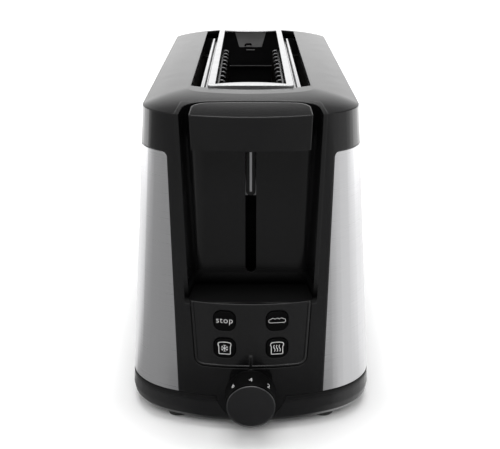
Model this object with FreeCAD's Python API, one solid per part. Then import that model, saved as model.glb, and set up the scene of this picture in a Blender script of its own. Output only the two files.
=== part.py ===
"""Long slot toaster: one STEP file per subcomponent. Millimetres, +Z up, feet on z = 0.

While a piece is drawn, x = 0 is the middle of the toaster and y = 0 is the middle of the front top edge, with
y growing towards the rear. Every piece is then moved so that the origin of the saved files is under the
middle of the whole object.
"""
import FreeCAD, Part
import math
import os

from FreeCAD import Vector

os.makedirs("parts", exist_ok=True)

# Body: the side walls lean in from the seam to the crease, the sharp edge under the crown
BODY_LENGTH = 382.0
END_FLARE = 3.0
CREASE_HALF = 60.5
SEAM_HALF = 70.0
CREASE_CORNER = 35.5
SEAM_CORNER = 42.5
END_TURN = math.radians(27.4)
SEAM_Z = 20.5
CREASE_Z = 180.0
WALL = 2.5
# Crown levels: z, inset at the sides, at the front, at the rear, corner radius
CROWN = [
    (CREASE_Z, 0.0, 0.0, 0.0, CREASE_CORNER),
    (181.6, 6.0, 12.0, 6.0, 32.0),
    (183.0, 14.0, 28.0, 13.0, 26.0),
    (184.0, 24.0, 48.0, 21.0, 14.5),
]
# Long arcs are drawn in parts, and hidden or very thin round forms in flats, so that the faces stay light
BOW_PARTS = 8
CORNER_PARTS = 6
TURN_PARTS = 3
KNOB_PARTS = 4
PIN_SIDES = 12
WIRE_SIDES = 6
# Slot opening in the crown, with both ends bowed outwards
SLOT_HALF = 35.4
SLOT_FRONT = 62.0
SLOT_REAR = BODY_LENGTH - 24.0
SLOT_BOW = 14.0

# Base
BASE_Z = 3.5
BASE_ROUND = 7.5
BASE_STEPS = 3
BASE_FLOOR = 2.5
SEAM_GROOVE = 0.6
FLOOR_Z = BASE_Z + BASE_FLOOR
FOOT_X = SEAM_HALF - 27.7
FOOT_INSET = 20.6
FOOT_R = 6.0
FOOT_STUD_R = 2.5
POST_X = SEAM_HALF - 12.0
POST_Y = 45.0
POST_R = 5.0
POST_TOP = 45.0
SCREW_R = 1.6
SCREW_HEAD_R = 3.4
SCREW_HEAD = 1.5
SCREW_FIT = 0.05
VENT_COUNT = 12
VENT_WIDTH = 4.0
VENT_X = (10.0, 38.0)
VENT_Y = (94.0, BODY_LENGTH - 68.0)

# Steel side panels: front edge x at the top and at the seam, top edge z
PANEL_THICK = 0.8
PANEL_TOP_X = 45.5
PANEL_SEAM_X = 41.2
PANEL_TOP_Z = 158.5
PANEL_ROUND = 3.0
PANEL_GAP = 0.3

# Lever recess: half widths at the front and at the back plate, at the top and at the floor
RECESS_BACK = 30.0
RECESS_WALL = 2.2
RECESS_FRONT_Y = 8.0
RECESS_TOP = (38.9, 36.4)
RECESS_LOW = (34.0, 31.5)
RECESS_TOP_ROUND = 13.0
RECESS_LOW_Z = 76.0
RECESS_RISE = 2.0
RECESS_ROUND = 6.0
LEVER_SLOT_HALF = 3.0
LEVER_SLOT_LOW = 83.7
LEVER_SLOT_HIGH = 174.0

# Carriage and its lever block
TRAVEL = 74.0
KNOB_LOW_Z = 161.3
KNOB_FRONT_HALF = 32.4
KNOB_BACK_HALF = 31.0
KNOB_SPREAD = 0.95
KNOB_BACK = 27.5
KNOB_WALL = 2.5
KNOB_ROUND = 8.5
BLADE = 1.4
BLADE_LOW_Z = 128.6
BLADE_TOP_Z = 172.0
TONGUE_Z = (KNOB_LOW_Z + 1.7, BLADE_TOP_Z - 1.0)
SHOE_HALF = 2.7
SADDLE_Y = 52.0
SADDLE_HALF = 20.0
ARM_X = 9.0
ARM_THICK = 1.2
RACK_TOP_Z = 136.0
RACK_WIRE_R = 1.2
RACK_WIRE_HALF = 13.0
RACK_WIRE_SUNK = 0.4
RUN_FIT = 0.06

# Control panel, buttons and browning knob on the front end
FACE_HALF = (33.3, 31.0)
FACE_LOW_Z = 38.5
FACE_ROUND = 5.0
FACE_THICK = 1.5
FACE_GROOVE = 0.6
BUTTON_X = 14.6
BUTTON_Z = (66.0, 50.0)
BUTTON_WIDE = 11.5
BUTTON_HIGH = 11.0
BUTTON_ROUND = 4.0
BUTTON_PROUD = 0.8
BUTTON_GAP = 0.35
BUTTON_TUBE = 1.0
BUTTON_TUBE_Y = 6.0
BUTTON_STEM = 8.2
BUTTON_TRAVEL = 1.2
DIAL_FRONT_Y = -23.0
DIAL_FRONT_Z = 24.2
DIAL_TILT = 8.0
DIAL_DEPTH = 14.0
DIAL_FRONT_R = 13.35
DIAL_BACK_R = 14.5
DIAL_WALL = 1.8
DIAL_RIM = 1.0
NECK_R = 11.5
SEAT_R = 9.5
SEAT_DEPTH = 25.0
POT_R = 8.0
POT_DEEP = 6.0
BUSH_R = 4.4
LOBE_Z = 25.3
LOBE_R = 20.2
LOBE_GAP = 0.3
SHAFT_R = 3.0
POINTER_HALF = 0.75
POINTER_PROUD = 0.6
POINTER_Z = (32.5, 45.5)

# Chrome slot frame and warming wires
FRAME_TOP = 185.2
FRAME_DEEP = 3.0
FRAME_OUT = 25.2
FRAME_IN = 21.0
FRAME_FRONT = 69.5
FRAME_REAR = BODY_LENGTH - 32.0
FRAME_IN_FRONT = 75.0
FRAME_IN_REAR = BODY_LENGTH - 41.0
FRAME_IN_BOW = 6.0
FRAME_SHEET = 0.8
BUN_X = 28.9
BUN_R = 1.3
BUN_Z = 181.5
BUN_INNER_X = 27.0
BUN_INNER_Z = 179.4
BUN_INNER_R = 1.0
BUN_FRONT = 76.0
BUN_REAR = BODY_LENGTH - 69.0
BUN_LIFT = 24.0
BUN_BEND = 2.6
BUN_LEG_Z = 142.0
YOKE_Y = 69.0

# Heating chamber
PLATE = 1.0
PLATE_FRONT = 72.0
PLATE_REAR = BODY_LENGTH - 36.0
PLATE_TOP = 178.0
REFLECTOR_X = 38.0
REFLECTOR_SHEET = 0.8
REFLECTOR_Z = (30.0, 172.0)
BOARD_X = 33.0
BOARD_Z = (48.0, 160.0)
RIBBON_Y = (86.0, BODY_LENGTH - 80.0)
RIBBON_THICK = 0.3
RIBBON_WIDE = 2.0
RIBBON_STRIPS = 24
GUIDE_COUNT = 14
GUIDE_FIRST = 76.5
GUIDE_LAST = BODY_LENGTH - 66.3
GUIDE_PITCH = (GUIDE_LAST - GUIDE_FIRST) / (GUIDE_COUNT - 1)
GUIDE_X = 17.5
GUIDE_WIRE_R = 0.9
GUIDE_TOP_X = 21.6
GUIDE_TOP_Z = 172.0
GUIDE_PIVOT_X = 24.0
GUIDE_PIVOT_Z = 46.0
GUIDE_PIVOT_R = 1.6
GUIDE_JOURNAL = 4.0

# Carriage rods and return spring
ROD_R = 3.0
ROD_X = -13.5
ROD_Y = 57.0
REAR_ROD_Y = PLATE_REAR + 11.0
ROD_TOP = 176.0
REAR_ROD_LOW = 24.0
SPRING_SEAT = 12.0
SPRING_R = 4.8
SPRING_WIRE_R = 0.6
SPRING_TURNS = 9
SPRING_CHORDS = 10
EAR_LOW_Z = 124.0
EAR_HIGH_Z = 168.0
EAR = 2.0

# Crumb tray
TRAY_Z = 9.2
TRAY_HALF = SEAM_HALF - 25.0
TRAY_SHEET = 0.8
TRAY_LIP = 4.0
TRAY_FRONT = 80.0
TRAY_REAR = BODY_LENGTH - 10.0
TRAY_MOUTH_HALF = TRAY_HALF + 5.0
TRAY_MOUTH_TOP = 19.3
TRAY_FIT = 0.4

# Electrical pieces in the front compartment
PCB_Y = 12.0
PCB = 1.6
PCB_HALF = 29.0
PCB_Z = (13.0, 71.5)
MAGNET_X = 20.0
MAGNET_TOP = 51.9
MAGNET_Y = (40.0, 50.0)
CORD_X = 25.0
CORD_Z = 36.0
CORD_BORE_R = 3.6
CORD_BUSH_R = 6.0
TERMINAL_X = (-30.0, -2.0)
TERMINAL_Y = (BODY_LENGTH - 20.0, BODY_LENGTH - 9.0)
TERMINAL_Z = (26.0, 38.0)
TERMINAL_POLES = 3
TERMINAL_BOSS_R = 3.0


# Ends of the whole object: the top of the tilted knob face, and the widest level of the base
FRONT_END = DIAL_FRONT_Y - DIAL_FRONT_R * math.sin(math.radians(DIAL_TILT))
REAR_END = BODY_LENGTH + END_FLARE * (CREASE_Z - BASE_Z - BASE_ROUND) / (CREASE_Z - SEAM_Z)


def saved(name, shape):
    """Moves a finished shape so that the overall length is centred on the origin, and writes it."""
    moved = shape.copy()
    moved.translate(Vector(0, -(FRONT_END + REAR_END) / 2, 0))
    moved.exportStep("parts/" + name + ".step")


def joined(shapes):
    """One solid from several that touch."""
    return shapes[0].multiFuse(shapes[1:]).removeSplitter()


def flipped(shape):
    """The same shape on the other side of the middle plane."""
    return shape.mirror(Vector(0, 0, 0), Vector(1, 0, 0))


def block(x, y, z):
    """A box from three (low, high) pairs."""
    return Part.makeBox(x[1] - x[0], y[1] - y[0], z[1] - z[0], Vector(x[0], y[0], z[0]))


def rod(radius, start, end):
    """A round rod between two points."""
    way = Vector(*end) - Vector(*start)
    return Part.makeCylinder(radius, way.Length, Vector(*start), way)


def on_floor(z):
    return lambda u, v: Vector(u, v, z)


def on_front(y):
    return lambda u, v: Vector(u, y, v)


def on_side(x):
    return lambda u, v: Vector(x, u, v)


def arc(centre, radius, start, end, parts, place):
    """Edges of one arc round a centre, drawn in equal parts from one angle to another."""
    def at(angle):
        return place(centre.x + radius * math.cos(angle), centre.y + radius * math.sin(angle))

    step = (end - start) / parts
    turns = [start + i * step for i in range(parts)]
    return [Part.Arc(at(turn), at(turn + step / 2), at(turn + step)).toShape() for turn in turns]


def chords(centre, radius, start, end, parts, place):
    """The same stretch as an arc in parts, with a straight edge for each part."""
    turns = [start + (end - start) * i / parts for i in range(parts + 1)]
    stops = [place(centre.x + radius * math.cos(turn), centre.y + radius * math.sin(turn)) for turn in turns]
    return [Part.LineSegment(*pair).toShape() for pair in zip(stops, stops[1:])]


def rounded(points, place, parts=1):
    """A closed wire through (u, v, corner radius) points."""
    corners = []
    for i, (u, v, radius) in enumerate(points):
        here = Vector(u, v, 0)
        before = (Vector(*points[i - 1][:2], 0) - here).normalize()
        after = (Vector(*points[(i + 1) % len(points)][:2], 0) - here).normalize()
        if radius == 0:
            corners.append((here, here, []))
            continue
        half = before.getAngle(after) / 2
        reach = radius / math.tan(half)
        hub = here + (before + after).normalize() * (radius / math.sin(half))
        ends = [here + before * reach, here + after * reach]
        first, last = (math.atan2(end.y - hub.y, end.x - hub.x) for end in ends)
        last = first + math.remainder(last - first, 2 * math.pi)
        corners.append((*ends, arc(hub, radius, first, last, parts, place)))
    edges = []
    for i, (_, end, turn) in enumerate(corners):
        edges += turn
        following = corners[(i + 1) % len(corners)][0]
        if (following - end).Length > 1e-6:
            edges.append(Part.LineSegment(place(end.x, end.y), place(following.x, following.y)).toShape())
    return Part.Wire(edges)


def pushed(points, place, way):
    """A prism on a rounded outline, pushed along a vector."""
    return Part.Face(rounded(points, place)).extrude(Vector(*way))


def rectangle(u, v, radius=0.0):
    """Corner points of a rectangle from two (low, high) pairs."""
    return [(u[0], v[0], radius), (u[1], v[0], radius), (u[1], v[1], radius), (u[0], v[1], radius)]


def flats(radius, place, way, sides):
    """A regular outline of flats round a point, square to a direction."""
    side = way.cross(Vector(0, 0, 1) if abs(way.z) < way.Length / 2 else Vector(0, 1, 0)).normalize()
    up = side.cross(way).normalize()
    turns = [2 * math.pi * i / sides for i in range(sides + 1)]
    return Part.makePolygon([place + (side * math.cos(a) + up * math.sin(a)) * radius for a in turns])


def pin(radius, start, end):
    """A small round piece or hole between two points, drawn in flats."""
    way = Vector(*end) - Vector(*start)
    return Part.Face(flats(radius, Vector(*start), way, PIN_SIDES)).extrude(way)


def swept(stops, radius, sides):
    """A wire of flats along a path of points, mitred at each."""
    section = flats(radius, stops[0], stops[1] - stops[0], sides)
    return Part.makePolygon(stops).makePipeShell([section], True, False, 1)


def bent(points, radius, bend, cuts):
    """A wire along a path of points, each bend of one radius crossed in a few straight cuts."""
    stops = [Vector(*points[0])]
    for i in range(1, len(points) - 1):
        here = Vector(*points[i])
        before = (Vector(*points[i - 1]) - here).normalize()
        after = (Vector(*points[i + 1]) - here).normalize()
        half = before.getAngle(after) / 2
        hub = here + (before + after).normalize() * (bend / math.sin(half))
        start = here + before * (bend / math.tan(half)) - hub
        turn = FreeCAD.Rotation(start.cross(here - hub), math.degrees(math.pi - 2 * half) / cuts)
        stops.append(hub + start)
        for _ in range(cuts):
            start = turn.multVec(start)
            stops.append(hub + start)
    stops.append(Vector(*points[-1]))
    return swept(stops, radius, WIRE_SIDES)


def plan(z, half, front, rear, corner, draw=arc, parts=(BOW_PARTS, CORNER_PARTS)):
    """The rounded plan outline of the body: straight sides, bowed ends, corner arcs that run into both."""
    place = on_floor(z)
    hub_x = half - corner
    reach = hub_x / math.sin(END_TURN)
    depth = corner + reach * (1 - math.cos(END_TURN))
    hub_front, hub_rear = front + depth, rear - depth
    edges = []
    for sign, hub_y, far in ((-1, hub_front, hub_rear), (1, hub_rear, hub_front)):
        centre = Vector(0, hub_y - sign * reach * math.cos(END_TURN), 0)
        first = 0.0 if sign > 0 else math.pi
        turns = [first, first + math.pi / 2 - END_TURN, first + math.pi / 2 + END_TURN, first + math.pi]
        edges += draw(Vector(sign * hub_x, hub_y, 0), corner, turns[0], turns[1], parts[1], place)
        edges += draw(centre, corner + reach, turns[1], turns[2], parts[0], place)
        edges += draw(Vector(-sign * hub_x, hub_y, 0), corner, turns[2], turns[3], parts[1], place)
        edges.append(Part.LineSegment(place(-sign * half, hub_y), place(-sign * half, far)).toShape())
    return Part.Wire(edges)


def level(z, inset, draw=arc):
    """The leaning body's outline at one height, drawn in by an inset on every side."""
    share = (z - SEAM_Z) / (CREASE_Z - SEAM_Z)
    half = SEAM_HALF + (CREASE_HALF - SEAM_HALF) * share - inset
    front = inset - END_FLARE * (1 - share)
    corner = SEAM_CORNER + (CREASE_CORNER - SEAM_CORNER) * share - inset
    return plan(z, half, front, BODY_LENGTH - front, corner, draw)


def body(inset, low=BASE_Z, high=CREASE_Z, draw=arc):
    """The leaning body below the crease, drawn in by an inset on every side."""
    return Part.makeLoft([level(low, inset, draw), level(high, inset, draw)], True, True)


def within(inset, low=BASE_Z, high=CREASE_Z):
    """The same body for faces that nobody sees, with chords for arcs."""
    return body(inset, low, high, chords)


def base_body():
    """The lowest part of the body with its rounded lower edge."""
    turns = [math.pi / 2 * i / BASE_STEPS for i in range(BASE_STEPS + 1)]
    edge = Part.makeLoft([level(BASE_Z + BASE_ROUND * (1 - math.cos(a)), BASE_ROUND * (1 - math.sin(a)))
                          for a in turns], True, True)
    return edge.fuse(body(0.0, BASE_Z + BASE_ROUND, SEAM_Z)).removeSplitter()


def crown():
    """The crowned top over the crease, smooth from one level to the next."""
    wires = [plan(z, CREASE_HALF - side, front, BODY_LENGTH - rear, corner, arc, (1, 1))
             for z, side, front, rear, corner in CROWN]
    return Part.makeLoft(wires, True, False)


def crown_under(inset):
    """The underside of the crown, drawn in and lowered by an inset."""
    wires = [plan(z - inset, CREASE_HALF - side - inset, front + inset, BODY_LENGTH - rear - inset,
                  corner - inset, chords)
             for z, side, front, rear, corner in CROWN]
    return Part.makeLoft(wires, True, True)


def skin(outer, inner):
    """The layer of the body between two insets, with chords for arcs below the surface."""
    return (within(outer) if outer else body(outer)).cut(within(inner) if inner else body(inner))


OUTER = body(0.0).fuse(crown())


def slot_shape(grow=0.0):
    """The slot opening as a tall prism, both ends bowed outwards."""
    half = SLOT_HALF + grow
    low, high = CREASE_Z - 20, CREASE_Z + 20
    front, rear = SLOT_FRONT - grow, SLOT_REAR + grow
    corners = [Vector(half, front + SLOT_BOW, low), Vector(half, rear - SLOT_BOW, low),
               Vector(-half, rear - SLOT_BOW, low), Vector(-half, front + SLOT_BOW, low)]
    edges = [
        Part.LineSegment(corners[0], corners[1]).toShape(),
        Part.Arc(corners[1], Vector(0, rear, low), corners[2]).toShape(),
        Part.LineSegment(corners[2], corners[3]).toShape(),
        Part.Arc(corners[3], Vector(0, front, low), corners[0]).toShape(),
    ]
    return Part.Face(Part.Wire(edges)).extrude(Vector(0, 0, high - low))


def recess_shape(grow=0.0):
    """The lever recess as a solid: walls that close in towards the back plate, a floor that slopes forwards.

    The grown shape is the back of the liner, which nobody sees, and has no rounds.
    """
    wires = []
    back = RECESS_BACK + grow
    for z in (RECESS_LOW_Z - 10, CREASE_Z + 10):
        share = (z - RECESS_LOW_Z) / (CREASE_Z - RECESS_LOW_Z)
        near = RECESS_LOW[0] + (RECESS_TOP[0] - RECESS_LOW[0]) * share + grow
        far = RECESS_LOW[1] + (RECESS_TOP[1] - RECESS_LOW[1]) * share + grow
        slope = (near - far) / (RECESS_BACK - RECESS_FRONT_Y)
        open_y = -20.0
        wide = far + slope * (back - open_y)
        turn = 0 if grow else RECESS_ROUND + (RECESS_TOP_ROUND - RECESS_ROUND) * share
        wires.append(rounded([(-wide, open_y, 0), (wide, open_y, 0), (far, back, turn), (-far, back, turn)],
                             on_floor(z), TURN_PARTS))
    column = Part.makeLoft(wires, True, True)
    floor = RECESS_LOW_Z - grow
    turn = 0 if grow else RECESS_ROUND
    profile = [(-20, floor - RECESS_RISE * 20 / back, 0), (back, floor + RECESS_RISE, turn),
               (back, CREASE_Z + 10, 0), (-20, CREASE_Z + 10, 0)]
    return column.common(pushed(profile, on_side(-60), (120, 0, 0)))


def face_shape(grow, y):
    """The control panel outline as a prism through the front wall."""
    high, low = FACE_HALF[0] + grow, FACE_HALF[1] + grow
    points = [(-low, FACE_LOW_Z - grow, FACE_ROUND + grow), (low, FACE_LOW_Z - grow, FACE_ROUND + grow),
              (high, RECESS_LOW_Z, 0), (-high, RECESS_LOW_Z, 0)]
    return pushed(points, on_front(y[0]), (0, y[1] - y[0], 0))


def panel_shape(grow=0.0):
    """Right steel panel outline as a prism over the whole length, with a slanted edge at each end."""
    low = SEAM_Z - 1 if grow else SEAM_Z
    points = [(PANEL_TOP_X - grow, PANEL_TOP_Z + grow, PANEL_ROUND), (PANEL_SEAM_X - grow, low, 0),
              (SEAM_HALF + 20, low, 0), (SEAM_HALF + 20, PANEL_TOP_Z + grow, 0)]
    return pushed(points, on_front(-30), (0, BODY_LENGTH + 60, 0))


def lobe(radius):
    """The round step in the seam under the browning knob."""
    return rod(radius, (0, -20, LOBE_Z), (0, 6, LOBE_Z))


def tilted(shape):
    """Sets a shape drawn along +Y from the knob's front face into the knob's downward tilt."""
    turned = shape.copy()
    turned.rotate(Vector(0, 0, 0), Vector(1, 0, 0), DIAL_TILT)
    return turned.translated(Vector(0, DIAL_FRONT_Y, DIAL_FRONT_Z))


def posts():
    """Where the four screw posts of the casing stand."""
    return [(sx * POST_X, y) for sx in (-1, 1) for y in (POST_Y, BODY_LENGTH - POST_Y)]


def main_casing():
    """Black moulding: crown, top band and both end pillars, with pockets for the steel panels."""
    above = block((-100, 100), (-30, BODY_LENGTH + 30), (SEAM_Z, CREASE_Z + 20))
    hollow = within(WALL, BASE_Z, CREASE_Z - WALL).fuse(crown_under(WALL))
    shell = OUTER.cut(hollow)
    case = shell.common(above).fuse(shell.common(lobe(LOBE_R)))
    pocket = skin(-2.0, PANEL_THICK).common(panel_shape(PANEL_GAP))
    case = case.cut(pocket).cut(flipped(pocket))
    case = case.cut(slot_shape()).cut(recess_shape(RECESS_WALL))
    case = case.cut(skin(-2.0, FACE_THICK).common(face_shape(FACE_GROOVE, (-30, 30))))
    sill = FACE_HALF[1] - 3.5
    window = rectangle((-sill, sill), (FACE_LOW_Z + 3.5, RECESS_LOW_Z + 1), 2.0)
    case = case.cut(pushed(window, on_front(-30), (0, 50, 0)))
    mark = skin(-POINTER_PROUD, 0.5).common(
        block((-POINTER_HALF, POINTER_HALF), (-30, 30), (POINTER_Z[0], FACE_LOW_Z - FACE_GROOVE)))
    case = case.fuse(mark)
    bush = rod(CORD_BUSH_R + 0.1, (CORD_X, BODY_LENGTH - 20, CORD_Z), (CORD_X, BODY_LENGTH + 20, CORD_Z))
    case = case.cut(bush)
    columns = []
    for x, y in posts():
        side = math.copysign(1, x)
        web = block(sorted((x + side * 2, side * SEAM_HALF)), (y - 1, y + 1), (SEAM_Z, POST_TOP))
        column = pin(POST_R, (x, y, FLOOR_Z), (x, y, POST_TOP)).fuse(web.common(within(PANEL_THICK + 0.5)))
        columns.append(column.cut(pin(SCREW_R + SCREW_FIT, (x, y, FLOOR_Z), (x, y, 22))))
    height = sum(TERMINAL_Z) / 2
    for x in (TERMINAL_X[0] + TERMINAL_BOSS_R + 1.5, TERMINAL_X[1] - TERMINAL_BOSS_R - 1.5):
        boss = pin(TERMINAL_BOSS_R, (x, TERMINAL_Y[1], height), (x, BODY_LENGTH + 20, height))
        columns.append(boss.common(within(WALL / 2)))
    neck = tilted(pin(NECK_R, (0, DIAL_DEPTH + 1, 0), (0, 20, 0))).cut(within(WALL / 2))
    seat = tilted(pin(SEAT_R, (0, 20, 0), (0, SEAT_DEPTH, 0))).common(within(WALL / 2))
    case = joined([case, neck, seat] + columns)
    return case.cut(tilted(pin(BUSH_R + 0.2, (0, 5, 0), (0, SEAT_DEPTH + 5, 0))))


def lever_recess():
    """Liner of the lever recess with the slot that the carriage blade works in."""
    tub = recess_shape(RECESS_WALL).cut(recess_shape()).common(OUTER)
    tub = tub.cut(skin(-2.0, WALL).common(face_shape(PANEL_GAP, (-30, 30))))
    slot = rectangle((-LEVER_SLOT_HALF, LEVER_SLOT_HALF), (LEVER_SLOT_LOW, LEVER_SLOT_HIGH),
                     LEVER_SLOT_HALF - 0.01)
    return tub.cut(pushed(slot, on_front(RECESS_BACK - 5), (0, 12, 0)))


def button_outline(x, z, grow, corner):
    wide, high = BUTTON_WIDE / 2 + grow, BUTTON_HIGH / 2 + grow
    return rectangle((x - wide, x + wide), (z - high, z + high), corner)


def button_places():
    return [(x, z) for z in BUTTON_Z for x in (-BUTTON_X, BUTTON_X)]


def control_panel():
    """Inset front panel with a guide tube behind each button."""
    front = skin(0.0, FACE_THICK).common(face_shape(0.0, (-30, 30)))
    inside = within(FACE_THICK)
    pieces = [front]
    for x, z in button_places():
        outline = button_outline(x, z, BUTTON_GAP + BUTTON_TUBE, 0)
        pieces.append(pushed(outline, on_front(-20), (0, 20 + BUTTON_TUBE_Y, 0)).common(inside))
    pieces.append(skin(-POINTER_PROUD, 0.5).common(
        block((-POINTER_HALF, POINTER_HALF), (-30, 30), (FACE_LOW_Z, POINTER_Z[1]))))
    face = joined(pieces)
    for x, z in button_places():
        hole = button_outline(x, z, BUTTON_GAP, BUTTON_ROUND + BUTTON_GAP)
        face = face.cut(pushed(hole, on_front(-30), (0, 60, 0)))
    return face


def button(x, z):
    """Push button: domed cap, collar that stops it behind the guide tube, stem to its switch."""
    cap = pushed(button_outline(x, z, 0.0, BUTTON_ROUND), on_front(-30), (0, 30 + BUTTON_TUBE_Y + 0.2, 0))
    cap = cap.common(body(-BUTTON_PROUD))
    reach = BUTTON_GAP + BUTTON_TUBE - 0.2
    collar = pushed(button_outline(x, z, reach, 0), on_front(BUTTON_TUBE_Y + 0.1), (0, 1.0, 0))
    stem = pin(1.6, (x, BUTTON_TUBE_Y, z), (x, BUTTON_STEM, z))
    return joined([cap, collar, stem])


def browning_knob():
    """Conical knob with a recessed disc in a thin rim and a hub for its shaft."""
    inner = DIAL_FRONT_R - DIAL_RIM
    solid = Part.makeCone(DIAL_FRONT_R, DIAL_BACK_R, DIAL_DEPTH, Vector(0, 0, 0), Vector(0, 1, 0))
    solid = solid.cut(rod(inner, (0, -1, 0), (0, 0.5, 0)))
    solid = solid.cut(pin(DIAL_BACK_R - DIAL_WALL, (0, 3, 0), (0, DIAL_DEPTH + 1, 0)))
    hub = pin(6.0, (0, 3, 0), (0, DIAL_DEPTH - 2, 0))
    return tilted(joined([solid, hub]).cut(rod(SHAFT_R, (0, 4, 0), (0, DIAL_DEPTH, 0))))


def side_panel():
    """Brushed steel panel for the right side, wrapping round both corners."""
    return skin(0.0, PANEL_THICK).common(panel_shape())


def base_tray():
    """Black base: vents, tray rails, magnet pedestal, seats for feet and screws, mouth for the tray."""
    inner = within(WALL + 1.0, FLOOR_Z, SEAM_Z + 1)
    base = base_body().cut(inner)
    rim = within(-5.0, SEAM_Z - SEAM_GROOVE, SEAM_Z + 1)
    rim = rim.cut(within(SEAM_GROOVE, SEAM_Z - SEAM_GROOVE - 1, SEAM_Z + 2))
    base = base.cut(rim).cut(lobe(LOBE_R + LOBE_GAP))
    mouth = rectangle((-TRAY_MOUTH_HALF, TRAY_MOUTH_HALF), (FLOOR_Z, TRAY_MOUTH_TOP), 1.0)
    base = base.cut(pushed(mouth, on_front(BODY_LENGTH - 30), (0, 60, 0)))
    slots = []
    pitch = (VENT_Y[1] - VENT_Y[0]) / (VENT_COUNT - 1)
    for row in range(VENT_COUNT):
        y = VENT_Y[0] + row * pitch
        for side in (-1, 1):
            slots.append(block(sorted((side * VENT_X[0], side * VENT_X[1])), (y, y + VENT_WIDTH),
                               (BASE_Z - 1, FLOOR_Z + 1)))
    base = base.cut(Part.makeCompound(slots))
    extras = [block(sorted((s * (TRAY_HALF - 4), s * (TRAY_HALF - 2))), (TRAY_FRONT - 3, TRAY_REAR - 6),
                    (FLOOR_Z - 0.5, TRAY_Z - 0.1)) for s in (-1, 1)]
    extras.append(pin(8.0, (ROD_X, ROD_Y, FLOOR_Z - 0.5), (ROD_X, ROD_Y, SPRING_SEAT)))
    extras.append(block((MAGNET_X - 9, MAGNET_X + 9), (MAGNET_Y[0] - 1, MAGNET_Y[1]), (FLOOR_Z - 0.5, 28.0)))
    extras += [block(sorted((s * 20, s * PCB_HALF)), (PCB_Y - 3, PCB_Y + PCB + 3), (FLOOR_Z - 0.5, PCB_Z[0]))
               for s in (-1, 1)]
    base = joined([base] + extras)
    base = base.cut(rod(ROD_R, (ROD_X, ROD_Y, FLOOR_Z), (ROD_X, ROD_Y, SPRING_SEAT + 1)))
    for x, y in posts():
        base = base.cut(pin(SCREW_R + SCREW_FIT, (x, y, BASE_Z - 1), (x, y, FLOOR_Z + 1)))
        base = base.cut(pin(SCREW_HEAD_R + 0.2, (x, y, BASE_Z - 1), (x, y, BASE_Z + SCREW_HEAD)))
    for x, y in plate_screws():
        base = base.cut(pin(SCREW_R + SCREW_FIT, (x, y, BASE_Z + 0.5), (x, y, FLOOR_Z + 1)))
    for x, y in foot_places():
        base = base.cut(pin(FOOT_STUD_R, (x, y, BASE_Z - 1), (x, y, FLOOR_Z)))
    return base


def foot_places():
    return [(x, y) for y in (FOOT_INSET, BODY_LENGTH - FOOT_INSET) for x in (-FOOT_X, FOOT_X)]


def foot(x, y):
    """Round rubber foot with a stud in the base."""
    pad = rod(FOOT_R, (x, y, 0), (x, y, BASE_Z))
    return pad.fuse(pin(FOOT_STUD_R, (x, y, BASE_Z), (x, y, FLOOR_Z)))


def screw(x, y, seat, way, length):
    """Pan head screw: head beyond the seat, shank the other way."""
    head = pin(SCREW_HEAD_R, (x, y, seat), (x, y, seat - way * SCREW_HEAD))
    return head.fuse(pin(SCREW_R, (x, y, seat), (x, y, seat + way * length)))


def plate_screws():
    """Where the four screws hold the end plates to the base."""
    return [(sx * 53.0, y) for sx in (-1, 1) for y in (PLATE_FRONT - 6, PLATE_REAR + PLATE + 5)]


def end_plate(front):
    """Sheet steel end plate of the heating chamber with its slots, foot flanges and rod tab."""
    y = PLATE_FRONT if front else PLATE_REAR
    outline = [(-57, FLOOR_Z, 0), (57, FLOOR_Z, 0), (50, PLATE_TOP, 4), (24.2, PLATE_TOP, 0),
               (24.2, FRAME_TOP - FRAME_SHEET, 0), (-24.2, FRAME_TOP - FRAME_SHEET, 0),
               (-24.2, PLATE_TOP, 0), (-50, PLATE_TOP, 4)]
    plate = pushed(outline, on_front(y), (0, PLATE, 0))
    arm = RACK_TOP_Z - 10
    holes = [block(sorted((s * (ARM_X - 1.8), s * (ARM_X + 1.8))), (y - 1, y + 2),
                   (arm - TRAVEL - 5, RACK_TOP_Z + 4)) for s in (-1, 1)]
    holes += [rod(GUIDE_PIVOT_R + RUN_FIT, (s * GUIDE_PIVOT_X, y - 1, GUIDE_PIVOT_Z),
                  (s * GUIDE_PIVOT_X, y + 2, GUIDE_PIVOT_Z)) for s in (-1, 1)]
    outward = -1 if front else 1
    face = y if front else y + PLATE
    rod_x, rod_y = (ROD_X, ROD_Y) if front else (0.0, REAR_ROD_Y)
    tabs = [block((rod_x - 7, rod_x + 7), sorted((face, rod_y + outward * 6)), (ROD_TOP - 2, ROD_TOP - 1))]
    feet = [block(sorted((s * 50, s * 57)), sorted((face, face + outward * 11)), (FLOOR_Z, FLOOR_Z + PLATE))
            for s in (-1, 1)]
    if front:
        holes += [block(sorted((s * (BUN_X - 1.8), s * (BUN_X + 1.8))), (y - 1, y + 2),
                        (BUN_LEG_Z - 2, BUN_LEG_Z + BUN_LIFT + 2)) for s in (-1, 1)]
    else:
        holes.append(block((-48, 48), (y - 1, y + 2), (FLOOR_Z - 1, 20)))
        tabs.append(block((-7, 7), (face, rod_y + 6), (REAR_ROD_LOW, REAR_ROD_LOW + 1)))
        tabs.append(block((-18, 18), (y - 5, y), (155, 156)))
    plate = joined([plate.cut(Part.makeCompound(holes))] + tabs + feet)
    plate = plate.cut(rod(ROD_R, (rod_x, rod_y, 20), (rod_x, rod_y, ROD_TOP)))
    for x, place in plate_screws():
        plate = plate.cut(pin(SCREW_R + SCREW_FIT, (x, place, FLOOR_Z - 1), (x, place, FLOOR_Z + 2)))
    return plate


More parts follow.
